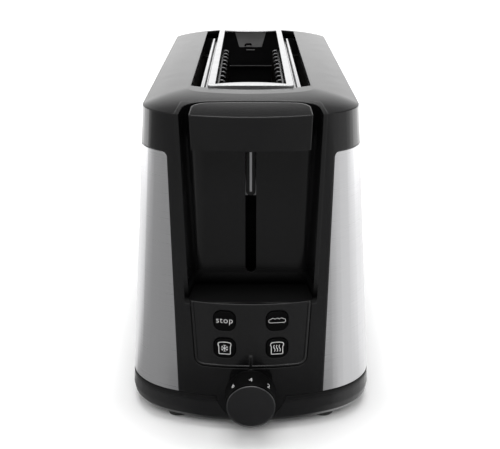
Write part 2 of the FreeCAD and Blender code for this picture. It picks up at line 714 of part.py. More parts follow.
def slot_frame():
    """Pressed chrome rim round the slot: channel-shaped rails, flanged ends with bowed inner edges."""
    low = FRAME_TOP - FRAME_DEEP

    def opening(grow, z, high):
        half = FRAME_IN + grow
        front, rear = FRAME_IN_FRONT, FRAME_IN_REAR
        ends = [(half, front), (half, rear), (-half, rear), (-half, front)]
        corners = [Vector(x, y, z) for x, y in ends]
        edges = [
            Part.LineSegment(corners[0], corners[1]).toShape(),
            Part.Arc(corners[1], Vector(0, rear - FRAME_IN_BOW, z), corners[2]).toShape(),
            Part.LineSegment(corners[2], corners[3]).toShape(),
            Part.Arc(corners[3], Vector(0, front + FRAME_IN_BOW, z), corners[0]).toShape(),
        ]
        return Part.Face(Part.Wire(edges)).extrude(Vector(0, 0, high - z))

    def rim(inset, z, high):
        sides = rectangle((-FRAME_OUT + inset, FRAME_OUT - inset), (FRAME_FRONT + inset, FRAME_REAR - inset),
                          2.0 - inset)
        return pushed(sides, on_floor(z), (0, 0, high - z))

    solid = rim(0.0, low, FRAME_TOP).cut(opening(0.0, low - 1, FRAME_TOP + 1))
    under = rim(FRAME_SHEET, low - 1, FRAME_TOP - FRAME_SHEET).cut(
        opening(FRAME_SHEET, low - 2, FRAME_TOP))
    return solid.cut(under)


def rear_baffle():
    """Light plate on the rear end plate that shows at the far end of the slot."""
    high = FRAME_TOP - 1.2
    low = high - 13.0
    return pushed([(-9.3, low, 1), (9.3, low, 1), (13.0, high, 0), (-13.0, high, 0)],
                  on_front(PLATE_REAR - 0.8), (0, 0.8, 0))


def reflector():
    """Right reflector: bright sheet with stiffening flanges and two guide tabs for the warming wire."""
    y = (PLATE_FRONT + PLATE, PLATE_REAR)
    low, high = REFLECTOR_Z
    out = REFLECTOR_X + REFLECTOR_SHEET
    sheet = block((REFLECTOR_X, out), y, (low, high))
    top = block((REFLECTOR_X, REFLECTOR_X + 6), y, (high, high + REFLECTOR_SHEET))
    foot_flange = block((REFLECTOR_X, REFLECTOR_X + 6), y, (low, low + REFLECTOR_SHEET))
    tabs = []
    for middle in (BUN_FRONT, BUN_REAR):
        reach = (max(middle - 5, y[0]), middle + 5)
        tab = block((BUN_X - 3.5, REFLECTOR_X + 0.4), reach, (high - 4, high - 3))
        tabs.append(tab.cut(pin(BUN_R + 0.4, (BUN_X, middle, high - 6), (BUN_X, middle, high))))
    return joined([sheet, top, foot_flange] + tabs)


def heater_board():
    """Right heater board: a thin sheet between the end plates."""
    return block((BOARD_X, BOARD_X + 0.8), (PLATE_FRONT + PLATE, PLATE_REAR), BOARD_Z)


def heater_ribbon():
    """Flat heating ribbon that winds up and down the inner face of the right board."""
    low, high = BOARD_Z[0] + 6, BOARD_Z[1] - 6
    pitch = (RIBBON_Y[1] - RIBBON_Y[0]) / RIBBON_STRIPS
    x = (BOARD_X - RIBBON_THICK, BOARD_X)
    strips = []
    for i in range(RIBBON_STRIPS):
        y = RIBBON_Y[0] + i * pitch
        strips.append(block(x, (y, y + RIBBON_WIDE), (low, high)))
        if i + 1 < RIBBON_STRIPS:
            z = high if i % 2 else low
            band = (z - RIBBON_WIDE, z) if i % 2 else (z, z + RIBBON_WIDE)
            strips.append(block(x, (y, y + pitch + RIBBON_WIDE), band))
    return joined(strips)


def bread_guide():
    """Right bread guide: upright wires on a pivot rod, leaning out to a rail under the slot frame."""
    y0, y1 = PLATE_FRONT - 1.5, PLATE_REAR + PLATE + 1.5
    ends = (y0, y0 + GUIDE_JOURNAL, y1 - GUIDE_JOURNAL, y1)
    stops = [Vector(GUIDE_PIVOT_X, y, GUIDE_PIVOT_Z) for y in ends]
    journals = [rod(GUIDE_PIVOT_R, *pair) for pair in (stops[:2], stops[2:])]
    rail = [Vector(GUIDE_TOP_X, y, GUIDE_TOP_Z) for y in (GUIDE_FIRST - 1, GUIDE_LAST + 1)]
    bars = [swept(stops[1:3], GUIDE_PIVOT_R, WIRE_SIDES), swept(rail, GUIDE_WIRE_R, WIRE_SIDES)]
    bends = [(GUIDE_PIVOT_X, GUIDE_PIVOT_Z), (GUIDE_X, GUIDE_PIVOT_Z + 12), (GUIDE_X, GUIDE_TOP_Z - 2.5),
             (GUIDE_TOP_X, GUIDE_TOP_Z)]
    wire = swept([Vector(x, GUIDE_FIRST, z) for x, z in bends], GUIDE_WIRE_R, WIRE_SIDES)
    wires = [wire.translated(Vector(0, i * GUIDE_PITCH, 0)) for i in range(GUIDE_COUNT)]
    return bars[0].multiFuse(bars[1:] + journals + wires)


def warming_wire():
    """Right warming rack: an outer rail with a leg down at each end, and a thinner rail close inside it."""
    outer = [(BUN_X, YOKE_Y - 0.8, BUN_LEG_Z), (BUN_X, BUN_FRONT, BUN_LEG_Z), (BUN_X, BUN_FRONT, BUN_Z),
             (BUN_X, BUN_REAR, BUN_Z), (BUN_X, BUN_REAR, BUN_LEG_Z)]
    inner = [(BUN_X, BUN_FRONT, BUN_INNER_Z - 6), (BUN_INNER_X, BUN_FRONT + 3, BUN_INNER_Z),
             (BUN_INNER_X, BUN_REAR - 3, BUN_INNER_Z), (BUN_X, BUN_REAR, BUN_INNER_Z - 6)]
    return bent(outer, BUN_R, BUN_BEND, 3).fuse(bent(inner, BUN_INNER_R, BUN_BEND, 2))


def warming_yoke():
    """Strip that joins both warming wires in front of the chamber."""
    outline = rectangle((-BUN_X - 4.1, BUN_X + 4.1), (BUN_LEG_Z - 3.5, BUN_LEG_Z + 3.5), 2.0)
    strip = pushed(outline, on_front(YOKE_Y), (0, PLATE, 0))
    for x in (-BUN_X, BUN_X):
        strip = strip.cut(pin(BUN_R, (x, YOKE_Y - 2, BUN_LEG_Z), (x, YOKE_Y + 3, BUN_LEG_Z)))
    return strip


def lever_knob():
    """Wide lever block flush with the casing, hollow from below, with a slit boss for the blade."""
    wires = []
    for z in (KNOB_LOW_Z, CREASE_Z + 10):
        share = (z - KNOB_LOW_Z) / (CREASE_Z - KNOB_LOW_Z)
        spread = KNOB_SPREAD * share
        near = KNOB_FRONT_HALF + spread
        far = KNOB_BACK_HALF + spread
        wide = far + (near - far) / KNOB_BACK * (KNOB_BACK + 20)
        wires.append(rounded([(-wide, -20, 0), (wide, -20, 0), (far, KNOB_BACK, KNOB_ROUND),
                              (-far, KNOB_BACK, KNOB_ROUND)], on_floor(z), KNOB_PARTS))
    solid = Part.makeLoft(wires, True, True).common(OUTER)
    hollow = block((-KNOB_BACK_HALF + KNOB_WALL + 2, KNOB_BACK_HALF - KNOB_WALL - 2),
                   (RECESS_FRONT_Y + KNOB_WALL, KNOB_BACK - KNOB_WALL),
                   (KNOB_LOW_Z - 1, CREASE_Z - KNOB_WALL))
    stem = block((-SHOE_HALF, SHOE_HALF), (KNOB_BACK - KNOB_WALL - 6, RECESS_BACK + 1.6),
                 (KNOB_LOW_Z + 0.7, BLADE_TOP_Z))
    ribs = [block((x - 0.8, x + 0.8), (RECESS_FRONT_Y, KNOB_BACK - 1), (KNOB_LOW_Z + 4, CREASE_Z - KNOB_WALL))
            for x in (-13, 13)]
    knob = joined([solid.cut(hollow), stem] + ribs)
    return knob.cut(block((-BLADE / 2, BLADE / 2), (KNOB_BACK - 7, RECESS_BACK + 3), TONGUE_Z))


def carriage_bracket():
    """Folded steel bracket: blade in the lever slot, saddle, rod ears and the arms that carry the rack."""
    y0, y1 = RECESS_BACK + RECESS_WALL + 0.3, SADDLE_Y
    outline = [(y0, BLADE_LOW_Z + 2, 1), (y1, EAR_LOW_Z, 0), (y1, BLADE_TOP_Z, 0), (y0, BLADE_TOP_Z, 1)]
    blade = pushed(outline, on_side(-BLADE / 2), (BLADE, 0, 0))
    tongue = block((-BLADE / 2, BLADE / 2), (KNOB_BACK - 7, y0 + 1), TONGUE_Z)
    step = EAR_LOW_Z + 16
    plate = [(-SADDLE_HALF, EAR_LOW_Z, 2), (SADDLE_HALF, EAR_LOW_Z, 2), (SADDLE_HALF, step, 3),
             (8, step + 10, 4), (6, BLADE_TOP_Z, 2), (-SADDLE_HALF, BLADE_TOP_Z, 2)]
    saddle = pushed(plate, on_front(y1 - BLADE), (0, BLADE, 0))
    ears = []
    for z in (EAR_LOW_Z, EAR_HIGH_Z):
        ear = block((ROD_X - 6, ROD_X + 6), (y1 - 0.5, ROD_Y + 6), (z, z + EAR))
        ears.append(ear.cut(rod(ROD_R + RUN_FIT, (ROD_X, ROD_Y, z - 1), (ROD_X, ROD_Y, z + EAR + 1))))
    arms = [block((x - ARM_THICK / 2, x + ARM_THICK / 2), (y1 - 0.5, PLATE_FRONT + 6),
                  (RACK_TOP_Z - 10, RACK_TOP_Z - RACK_WIRE_R * 2)) for x in (-ARM_X, ARM_X)]
    return joined([blade, tongue, saddle] + ears + arms)


def lever_shoe():
    """Dark shoe round the blade that fills the lever slot from behind, round at its lower end."""
    y0, y1 = RECESS_BACK + RECESS_WALL + 0.5, RECESS_BACK + RECESS_WALL + 6
    outline = [(-SHOE_HALF, BLADE_LOW_Z, SHOE_HALF - 0.01), (SHOE_HALF, BLADE_LOW_Z, SHOE_HALF - 0.01),
               (SHOE_HALF, BLADE_TOP_Z, 0.5), (-SHOE_HALF, BLADE_TOP_Z, 0.5)]
    shoe = pushed(outline, on_front(y0), (0, y1 - y0, 0))
    return shoe.cut(carriage_bracket())


def bread_rack():
    """Bread rack: two long strips carrying cross wires, running through both end plates."""
    z = (RACK_TOP_Z - 8, RACK_TOP_Z - RACK_WIRE_R * 2)
    strips = []
    for s in (-1, 1):
        inner = s * (ARM_X - ARM_THICK / 2)
        x = sorted((inner, inner - s * ARM_THICK))
        strips.append(block(x, (PLATE_FRONT - 4, PLATE_REAR + PLATE + 4), z))
    height = RACK_TOP_Z - RACK_WIRE_R - RACK_WIRE_SUNK
    ends = [Vector(x, GUIDE_FIRST, height) for x in (-RACK_WIRE_HALF, RACK_WIRE_HALF)]
    wire = swept(ends, RACK_WIRE_R, WIRE_SIDES)
    wires = [wire.translated(Vector(0, (i + 0.5) * GUIDE_PITCH, 0)) for i in range(GUIDE_COUNT)]
    return strips[0].multiFuse(strips[1:] + wires)


def rear_slider():
    """Slider on the rear rod that carries the rear ends of the rack strips."""
    y = (PLATE_REAR + PLATE + 2.0, REAR_ROD_Y + 7)
    z = (RACK_TOP_Z - 14, RACK_TOP_Z + 2)
    slider = pushed(rectangle((-12, 12), y, 2.0), on_floor(z[0]), (0, 0, z[1] - z[0]))
    slider = slider.cut(rod(ROD_R + RUN_FIT, (0, REAR_ROD_Y, z[0] - 1), (0, REAR_ROD_Y, z[1] + 1)))
    return slider.cut(bread_rack())


def carriage_rod(front):
    """Upright guide rod of the carriage."""
    if front:
        return rod(ROD_R, (ROD_X, ROD_Y, FLOOR_Z), (ROD_X, ROD_Y, ROD_TOP))
    return rod(ROD_R, (0, REAR_ROD_Y, REAR_ROD_LOW), (0, REAR_ROD_Y, ROD_TOP))


def return_spring():
    """Return spring on the front rod, from its seat on the base to the lower ear of the carriage."""
    length = EAR_LOW_Z - SPRING_SEAT - 2 * SPRING_WIRE_R
    count = SPRING_TURNS * SPRING_CHORDS
    stops = []
    for i in range(count + 1):
        turn = 2 * math.pi * i / SPRING_CHORDS
        stops.append(Vector(ROD_X + SPRING_R * math.cos(turn), ROD_Y + SPRING_R * math.sin(turn),
                            SPRING_SEAT + SPRING_WIRE_R + length * i / count))
    return swept(stops, SPRING_WIRE_R, 4)


def magnet_keeper():
    """Steel keeper plate under a foot on the carriage saddle."""
    lowered = MAGNET_TOP + 0.1 + TRAVEL
    plate = block((MAGNET_X - 7, MAGNET_X + 7), (MAGNET_Y[0], SADDLE_Y - BLADE), (lowered, lowered + 2.0))
    return plate.fuse(block((MAGNET_X - 7, SADDLE_HALF), (SADDLE_Y - BLADE - 1.5, SADDLE_Y - BLADE),
                            (lowered, lowered + 10)))


def magnet_core():
    """Holding magnet: two upright legs on a yoke."""
    x = (MAGNET_X - 7, MAGNET_X + 7)
    core = block(x, MAGNET_Y, (28.0, MAGNET_TOP))
    gap = block((MAGNET_X - 3, MAGNET_X + 3), (MAGNET_Y[0] - 1, MAGNET_Y[1] + 1), (33.0, MAGNET_TOP + 1))
    return core.cut(gap)


def magnet_coil():
    """Coil former round the left leg of the magnet."""
    x = (MAGNET_X - 9.5, MAGNET_X - 0.5)
    y = (MAGNET_Y[0] - 2.5, MAGNET_Y[1] + 0.5)
    flanges = [block(x, y, (z, z + 1.2)) for z in (34.0, 48.0)]
    winding = pushed(rectangle((x[0] + 1, x[1] - 1), (y[0] + 1, y[1]), 1.5), on_floor(34.5), (0, 0, 14))
    return joined([winding] + flanges).cut(magnet_core())


def contact_block():
    """Mains contact block with two leaf contacts beside the magnet."""
    body_block = pushed(rectangle((-30, -16), (36, 47), 1.0), on_floor(FLOOR_Z), (0, 0, 28))
    leaves = [block((x, x + 3), (40 + i, 40.5 + i), (FLOOR_Z + 27, 43)) for i, x in enumerate((-28, -21))]
    return joined([body_block] + leaves)


def mains_terminal():
    """Terminal block on two bosses of the rear wall, with a screw well for each pole."""
    low, high = TERMINAL_Z
    solid = block(TERMINAL_X, TERMINAL_Y, (low, high))
    pitch = (TERMINAL_X[1] - TERMINAL_X[0]) / TERMINAL_POLES
    middle = sum(TERMINAL_Y) / 2
    wells = []
    for i in range(TERMINAL_POLES):
        x = TERMINAL_X[0] + (i + 0.5) * pitch
        wells.append(pin(2.2, (x, middle, high - 5), (x, middle, high + 1)))
    return solid.cut(Part.makeCompound(wells))


def control_board():
    """Upright circuit board behind the control panel."""
    board = block((-PCB_HALF, PCB_HALF), (PCB_Y, PCB_Y + PCB), PCB_Z)
    holes = [pin(1.6, (s * 25, PCB_Y - 1, PCB_Z[1] - 4), (s * 25, PCB_Y + 3, PCB_Z[1] - 4)) for s in (-1, 1)]
    return board.cut(Part.makeCompound(holes))


def tact_switches():
    """Four small push switches on the board, one behind each button."""
    low = BUTTON_STEM + BUTTON_TRAVEL + 0.3
    lumps = []
    for x, z in button_places():
        case = block((x - 3, x + 3), (low + 0.5, PCB_Y), (z - 3, z + 3))
        lumps.append(case.fuse(pin(1.7, (x, low, z), (x, low + 1, z))))
    return Part.makeCompound(lumps)


def potentiometer():
    """Browning control behind its seat in the casing, with a bush round the shaft."""
    case = pin(POT_R, (0, SEAT_DEPTH, 0), (0, SEAT_DEPTH + POT_DEEP, 0))
    bush = pin(BUSH_R, (0, SEAT_DEPTH - 4, 0), (0, SEAT_DEPTH + 1, 0))
    bore = rod(SHAFT_R + RUN_FIT, (0, 0, 0), (0, SEAT_DEPTH + POT_DEEP - 0.4, 0))
    return tilted(case.fuse(bush).cut(bore))


def dial_shaft():
    """Shaft from the potentiometer to the browning knob."""
    return tilted(rod(SHAFT_R, (0, 4, 0), (0, SEAT_DEPTH + POT_DEEP - 0.5, 0)))


def crumb_tray():
    """Sheet tray with turned-up sides that slides out at the rear."""
    z = (TRAY_Z, TRAY_Z + TRAY_SHEET)
    sheet = block((-TRAY_HALF, TRAY_HALF), (TRAY_FRONT, TRAY_REAR), z)
    lips = [block(sorted((s * TRAY_HALF, s * (TRAY_HALF - TRAY_SHEET))), (TRAY_FRONT, TRAY_REAR - 4),
                  (z[0], z[0] + TRAY_LIP)) for s in (-1, 1)]
    end = (TRAY_FRONT, TRAY_FRONT + TRAY_SHEET)
    lips.append(block((-TRAY_HALF, TRAY_HALF), end, (z[0], z[0] + TRAY_LIP)))
    return joined([sheet] + lips)


def tray_handle():
    """Moulded front of the crumb tray, flush with the base, with a finger hollow under its edge."""
    half = TRAY_MOUTH_HALF - TRAY_FIT
    low, high = FLOOR_Z + TRAY_FIT, TRAY_MOUTH_TOP - TRAY_FIT
    front = pushed(rectangle((-half, half), (low, high), 0.6), on_front(TRAY_REAR - 6), (0, 40, 0))
    shape = front.common(base_body())
    back = block((-half + 2, half - 2), (TRAY_REAR - 7, TRAY_REAR), (low - 1, high + 1))
    shape = shape.cut(back)
    grip = rod(9.0, (-16, BODY_LENGTH + 4, low - 4.0), (16, BODY_LENGTH + 4, low - 4.0))
    return shape.cut(grip)


def cord_bush():
    """Bush in the rear wall through which the cord passes."""
    barrel = rod(CORD_BUSH_R, (CORD_X, BODY_LENGTH - 12, CORD_Z), (CORD_X, BODY_LENGTH + 20, CORD_Z))
    barrel = barrel.common(within(-1.5))
    flange = skin(-1.5, 0.0).common(
        rod(CORD_BUSH_R + 2.5, (CORD_X, BODY_LENGTH - 20, CORD_Z), (CORD_X, BODY_LENGTH + 20, CORD_Z)))
    bore = rod(CORD_BORE_R, (CORD_X, BODY_LENGTH - 20, CORD_Z), (CORD_X, BODY_LENGTH + 20, CORD_Z))
    return joined([barrel, flange]).cut(bore)


saved("main_casing", main_casing())
saved("lever_recess", lever_recess())
saved("control_panel", control_panel())
steel = side_panel()
saved("side_panel_right", steel)
saved("side_panel_left", flipped(steel))
saved("base_tray", base_tray())
for word, (x, y) in zip(("front_left", "front_right", "rear_left", "rear_right"), foot_places()):
    saved("foot_" + word, foot(x, y))
saved("base_screws", Part.makeCompound([screw(x, y, BASE_Z + SCREW_HEAD, 1, 14) for x, y in posts()]))
saved("end_plate_front", end_plate(True))
saved("end_plate_rear", end_plate(False))
saved("end_plate_screws",
      Part.makeCompound([screw(x, y, FLOOR_Z + PLATE, -1, 2.8) for x, y in plate_screws()]))
saved("slot_frame", slot_frame())
saved("rear_baffle", rear_baffle())
for name, make in (("reflector", reflector), ("heater_board", heater_board), ("heater_ribbon", heater_ribbon),
                   ("bread_guide", bread_guide), ("warming_wire", warming_wire)):
    right = make()
    saved(name + "_right", right)
    saved(name + "_left", flipped(right))
saved("warming_yoke", warming_yoke())
saved("lever_knob", lever_knob())
saved("carriage_bracket", carriage_bracket())
saved("lever_shoe", lever_shoe())
saved("bread_rack", bread_rack())
saved("rear_slider", rear_slider())
saved("carriage_rod_front", carriage_rod(True))
saved("carriage_rod_rear", carriage_rod(False))
saved("return_spring", return_spring())
saved("magnet_keeper", magnet_keeper())
saved("magnet_core", magnet_core())
saved("magnet_coil", magnet_coil())
saved("contact_block", contact_block())
saved("mains_terminal", mains_terminal())
saved("control_board", control_board())
saved("tact_switches", tact_switches())
saved("potentiometer", potentiometer())
saved("dial_shaft", dial_shaft())
saved("browning_knob", browning_knob())
for word, (x, z) in zip(("stop", "baguette", "defrost", "reheat"), button_places()):
    saved("button_" + word, button(x, z))
saved("crumb_tray", crumb_tray())
saved("tray_handle", tray_handle())
saved("cord_bush", cord_bush())
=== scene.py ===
"""The long slot toaster, dressed: finishes, round wires, turned knob, printed signs and studio."""

import math

import bmesh
import bpy
import numpy as np
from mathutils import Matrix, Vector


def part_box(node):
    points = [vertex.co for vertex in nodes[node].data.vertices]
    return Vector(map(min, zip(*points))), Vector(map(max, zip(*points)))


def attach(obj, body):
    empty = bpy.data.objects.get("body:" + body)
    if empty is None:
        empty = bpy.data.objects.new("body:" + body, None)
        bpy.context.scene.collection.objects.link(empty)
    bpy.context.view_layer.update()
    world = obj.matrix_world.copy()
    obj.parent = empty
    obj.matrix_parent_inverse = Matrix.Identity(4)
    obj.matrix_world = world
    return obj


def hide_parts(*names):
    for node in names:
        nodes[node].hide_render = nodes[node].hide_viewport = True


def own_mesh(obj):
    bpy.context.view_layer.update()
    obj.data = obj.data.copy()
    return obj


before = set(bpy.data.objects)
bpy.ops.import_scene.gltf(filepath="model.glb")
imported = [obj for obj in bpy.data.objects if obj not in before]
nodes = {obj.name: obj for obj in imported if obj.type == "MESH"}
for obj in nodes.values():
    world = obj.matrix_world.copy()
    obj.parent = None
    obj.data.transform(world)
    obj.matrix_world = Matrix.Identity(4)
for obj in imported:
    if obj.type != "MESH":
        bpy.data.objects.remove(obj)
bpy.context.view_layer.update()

# Feet. Four turned rubber pads, each pushed into the base on a stud. They are matt black rubber with a broken
# lower edge and a shallow ring in the sole, and a little dusty all over.

PATTERN_MIDDLE = (0.3, 0.7)
EDGE_SAMPLES = 8


def finish(title, colour, roughness, metallic=0.0):
    """A named material with a Principled shader, ready for more nodes."""
    material = bpy.data.materials.new(title)
    material.use_nodes = True
    tree = material.node_tree
    shader = tree.nodes["Principled BSDF"]
    shader.inputs["Base Color"].default_value = (*colour, 1.0)
    shader.inputs["Roughness"].default_value = roughness
    shader.inputs["Metallic"].default_value = metallic
    return material, tree, shader


def noise(tree, scale, stretch=(1.0, 1.0, 1.0), detail=3.0):
    """A noise pattern on the piece's own coordinates, drawn out by a stretch along each axis."""
    place = tree.nodes.new("ShaderNodeTexCoord")
    mapping = tree.nodes.new("ShaderNodeMapping")
    mapping.inputs["Scale"].default_value = stretch
    pattern = tree.nodes.new("ShaderNodeTexNoise")
    pattern.inputs["Scale"].default_value = scale
    pattern.inputs["Detail"].default_value = detail
    tree.links.new(place.outputs["Object"], mapping.inputs["Vector"])
    tree.links.new(mapping.outputs["Vector"], pattern.inputs["Vector"])
    return pattern.outputs["Fac"]


def mapped(tree, value, ends, kind="LINEAR"):
    """A value mapped from one pair of ends to another, as (low, high, start, end), and held at both ends."""
    node = tree.nodes.new("ShaderNodeMapRange")
    node.interpolation_type = kind
    for socket, number in zip(("From Min", "From Max", "To Min", "To Max"), ends):
        node.inputs[socket].default_value = number
    tree.links.new(value, node.inputs["Value"])
    return node.outputs["Result"]


def spread(tree, value, low, high):
    """A pattern's middle range, where nearly all of it lies, stretched to two given values."""
    return mapped(tree, value, (*PATTERN_MIDDLE, low, high))


def two_tones(tree, value, dark, light):
    """A colour that runs between two tones with a pattern."""
    mix = tree.nodes.new("ShaderNodeMix")
    mix.data_type = "RGBA"
    mix.inputs["A"].default_value = (*dark, 1.0)
    mix.inputs["B"].default_value = (*light, 1.0)
    tree.links.new(spread(tree, value, 0.0, 1.0), mix.inputs["Factor"])
    return mix.outputs["Result"]


def relief(tree, shader, value, strength, depth, edge=0.0):
    """Raises a pattern on the surface, over edges softened by a radius in metres."""
    bump = tree.nodes.new("ShaderNodeBump")
    bump.inputs["Strength"].default_value = strength
    bump.inputs["Distance"].default_value = depth
    tree.links.new(value, bump.inputs["Height"])
    if edge:
        soft = tree.nodes.new("ShaderNodeBevel")
        soft.samples = EDGE_SAMPLES
        soft.inputs["Radius"].default_value = edge
        tree.links.new(soft.outputs["Normal"], bump.inputs["Normal"])
    tree.links.new(bump.outputs["Normal"], shader.inputs["Normal"])


def rubber():
    """Matt black rubber with a dusty bloom."""
    material, tree, shader = finish("foot_rubber", (0.02, 0.02, 0.02), roughness=0.8)
    bloom = two_tones(tree, noise(tree, scale=300.0), (0.012, 0.012, 0.012), (0.03, 0.03, 0.029))
    tree.links.new(bloom, shader.inputs["Base Color"])
    relief(tree, shader, noise(tree, scale=2500.0), strength=0.4, depth=0.0001)
    return material


def turned(profile, origin, axis, up, sides=64):
    """A turned form: profile point (radius, depth) goes to origin + depth * axis + radius * (up * cos t +
    side * sin t) for t all the way round. The profile starts and ends on the axis, and each pole is one
    point."""
    axis, up = np.array(axis, float), np.array(up, float)
    side = np.cross(axis, up)
    turn = np.linspace(0.0, 2 * math.pi, sides, endpoint=False)
    round_way = np.cos(turn)[:, None] * up + np.sin(turn)[:, None] * side
    profile = np.array(profile, float)
    middle = profile[1:-1]
    rings = np.array(origin) + middle[:, 1, None, None] * axis + middle[:, 0, None, None] * round_way
    poles = np.array(origin) + profile[[0, -1], 1, None] * axis
    points = np.concatenate([rings.reshape(-1, 3), poles])
    index = np.arange(len(middle) * sides).reshape(len(middle), sides)
    following = np.roll(index, -1, axis=1)
    quads = np.stack([index[:-1], index[1:], following[1:], following[:-1]], axis=-1).reshape(-1, 4)
    first, last = len(points) - 2, len(points) - 1
    fans = [np.stack([ring, step, np.full(sides, pole)], axis=-1)
            for ring, step, pole in ((index[0], following[0], first), (index[-1], following[-1], last))]
    return points, quads.tolist() + np.concatenate(fans).tolist()


def shell(name, forms, material, smooth=40.0):
    """One piece from closed (points, faces) forms, faces outward, rounded below an angle in degrees."""
    points, faces = [], []
    for form_points, form_faces in forms:
        start = sum(len(p) for p in points)
        points.append(form_points)
        faces += [[start + i for i in face] for face in form_faces]
    mesh = bpy.data.meshes.new(name)
    mesh.from_pydata(np.concatenate(points).tolist(), [], faces)
    shaped = bmesh.new()
    shaped.from_mesh(mesh)
    bmesh.ops.recalc_face_normals(shaped, faces=shaped.faces)
    shaped.to_mesh(mesh)
    shaped.free()
    mesh.shade_smooth()
    mesh.set_sharp_from_angle(angle=math.radians(smooth))
    mesh.materials.append(material)
    piece = bpy.data.objects.new(name, mesh)
    bpy.context.scene.collection.objects.link(piece)
    return piece


FOOT_EDGE = 0.0008
FOOT_BEND = 0.3
FOOT_STUD = 0.0025
FOOT_RING = (0.003, 0.0036)
FOOT_RING_DEEP = 0.0004

foot_rubber = rubber()
for name in [n for n in nodes if n.startswith("foot_")]:
    low, high = (np.array(corner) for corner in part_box(name))
    middle = (low + high) / 2
    radius = (high[0] - low[0]) / 2
    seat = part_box("base_tray")[0][2]
    pad_top, stud_top = seat - low[2], high[2] - low[2]
    profile = [(0.0, 0.0), (FOOT_RING[0] - FOOT_EDGE / 2, 0.0), (FOOT_RING[0], FOOT_RING_DEEP),
               (FOOT_RING[1], FOOT_RING_DEEP), (FOOT_RING[1] + FOOT_EDGE / 2, 0.0), (radius - FOOT_EDGE, 0.0),
               (radius - FOOT_EDGE * FOOT_BEND, FOOT_EDGE * FOOT_BEND), (radius, FOOT_EDGE),
               (radius, pad_top), (FOOT_STUD, pad_top), (FOOT_STUD, stud_top), (0.0, stud_top)]
    pad = shell("pad_" + name, [turned(profile, (middle[0], middle[1], low[2]), (0, 0, 1), (1, 0, 0), 48)],
                foot_rubber)
    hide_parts(name)
    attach(pad, "casing")

# Base. One black moulding with a rounded lower edge, vents under the heating chamber and a groove under the
# casing. It mirrors the worktop along its lower edge, and painted shade darkens and dulls it along the
# groove.

MOULD_TONES = (0.85, 1.2)
MOULD_GLOSS = (0.93, 1.08)
MOULD_TINT = np.array([1.0, 1.0, 1.05])
# Heights of the painted shade along the groove under the casing.
BASE_PAINTED_SHADE = ((0.0, 1.0), (0.0193, 1.0), (0.0197, 0.0), (0.0206, 0.0), (0.0208, 1.0))


def wear(names, material):
    """Gives CAD pieces a finish."""
    for name in names:
        slots = nodes[name].data.materials
        slots.clear()
        slots.append(material)


def moulded(title, tone, roughness, grain=0.2, edge=0.0005, shine=0.3):
    """Moulded plastic: uneven tone and gloss, and the fine grain of an eroded mould."""
    material, tree, shader = finish(title, tone * MOULD_TINT, roughness)
    shader.inputs["Specular IOR Level"].default_value = shine
    dark, light = (tone * share * MOULD_TINT for share in MOULD_TONES)
    tones = two_tones(tree, noise(tree, scale=28.0, detail=5.0), dark, light)
    tree.links.new(tones, shader.inputs["Base Color"])
    glossy, dull = (roughness * share for share in MOULD_GLOSS)
    gloss = spread(tree, noise(tree, scale=60.0, detail=6.0), glossy, dull)
    tree.links.new(gloss, shader.inputs["Roughness"])
    relief(tree, shader, noise(tree, scale=3800.0, detail=2.0), grain, depth=0.00001, edge=edge)
    return material


def maths(tree, kind, first, second=0.0):
    """One sum on two values, each a number or a socket."""
    node = tree.nodes.new("ShaderNodeMath")
    node.operation = kind
    for socket, value in zip(node.inputs, (first, second)):
        if isinstance(value, float):
            socket.default_value = value
        else:
            tree.links.new(value, socket)
    return node.outputs["Value"]


def stepped(tree, value, stops):
    """A grey that follows a list of (place, level) stops."""
    node = tree.nodes.new("ShaderNodeValToRGB")
    steps = node.color_ramp.elements
    steps[0].position, steps[1].position = stops[0][0], stops[-1][0]
    steps[0].color, steps[1].color = (stops[0][1],) * 3 + (1.0,), (stops[-1][1],) * 3 + (1.0,)
    for position, level in stops[1:-1]:
        steps.new(position).color = (level,) * 3 + (1.0,)
    tree.links.new(value, node.inputs["Fac"])
    return node.outputs["Color"]


def own_axes(tree, kind="Object"):
    """The x, y and z of the piece's own coordinates, or of the directions round a world."""
    place = tree.nodes.new("ShaderNodeTexCoord")
    axes = tree.nodes.new("ShaderNodeSeparateXYZ")
    tree.links.new(place.outputs[kind], axes.inputs["Vector"])
    return axes.outputs["X"], axes.outputs["Y"], axes.outputs["Z"]


def shaded(material, stops):
    """Painted shade by height, as (height, share) stops: tone and gloss are darkened and dulled where a gap
    or a deep corner would keep the light out."""
    tree = material.node_tree
    shader = tree.nodes["Principled BSDF"]
    share = stepped(tree, own_axes(tree)[2], stops)
    tone = tree.nodes.new("ShaderNodeMix")
    tone.data_type = "RGBA"
    tone.blend_type = "MULTIPLY"
    tone.inputs["Factor"].default_value = 1.0
    tree.links.new(shader.inputs["Base Color"].links[0].from_socket, tone.inputs["A"])
    tree.links.new(share, tone.inputs["B"])
    tree.links.new(tone.outputs["Result"], shader.inputs["Base Color"])
    gloss = maths(tree, "MULTIPLY", share, shader.inputs["Specular IOR Level"].default_value)
    tree.links.new(gloss, shader.inputs["Specular IOR Level"])
    dull = maths(tree, "SUBTRACT", 1.0, share)
    rough = maths(tree, "MAXIMUM", shader.inputs["Roughness"].links[0].from_socket, dull)
    tree.links.new(rough, shader.inputs["Roughness"])
    return material


base_black = moulded("base_black", tone=0.008, roughness=0.25, grain=0.05, shine=0.45)
# Painted shade: the base is darker and duller in a narrow band at its top edge, along the groove under the
# casing.
wear(["base_tray", "tray_handle", "cord_bush"], shaded(base_black, BASE_PAINTED_SHADE))

# Heating chamber. End plates of dull coated sheet, dark reflectors, mica boards wound with flat ribbon, and a
# lighter baffle riveted to the rear plate. The bare steel of the carriage, rods and screws is here too.

METAL_DARK = 0.8
METAL_GLOSS = (0.8, 1.3)


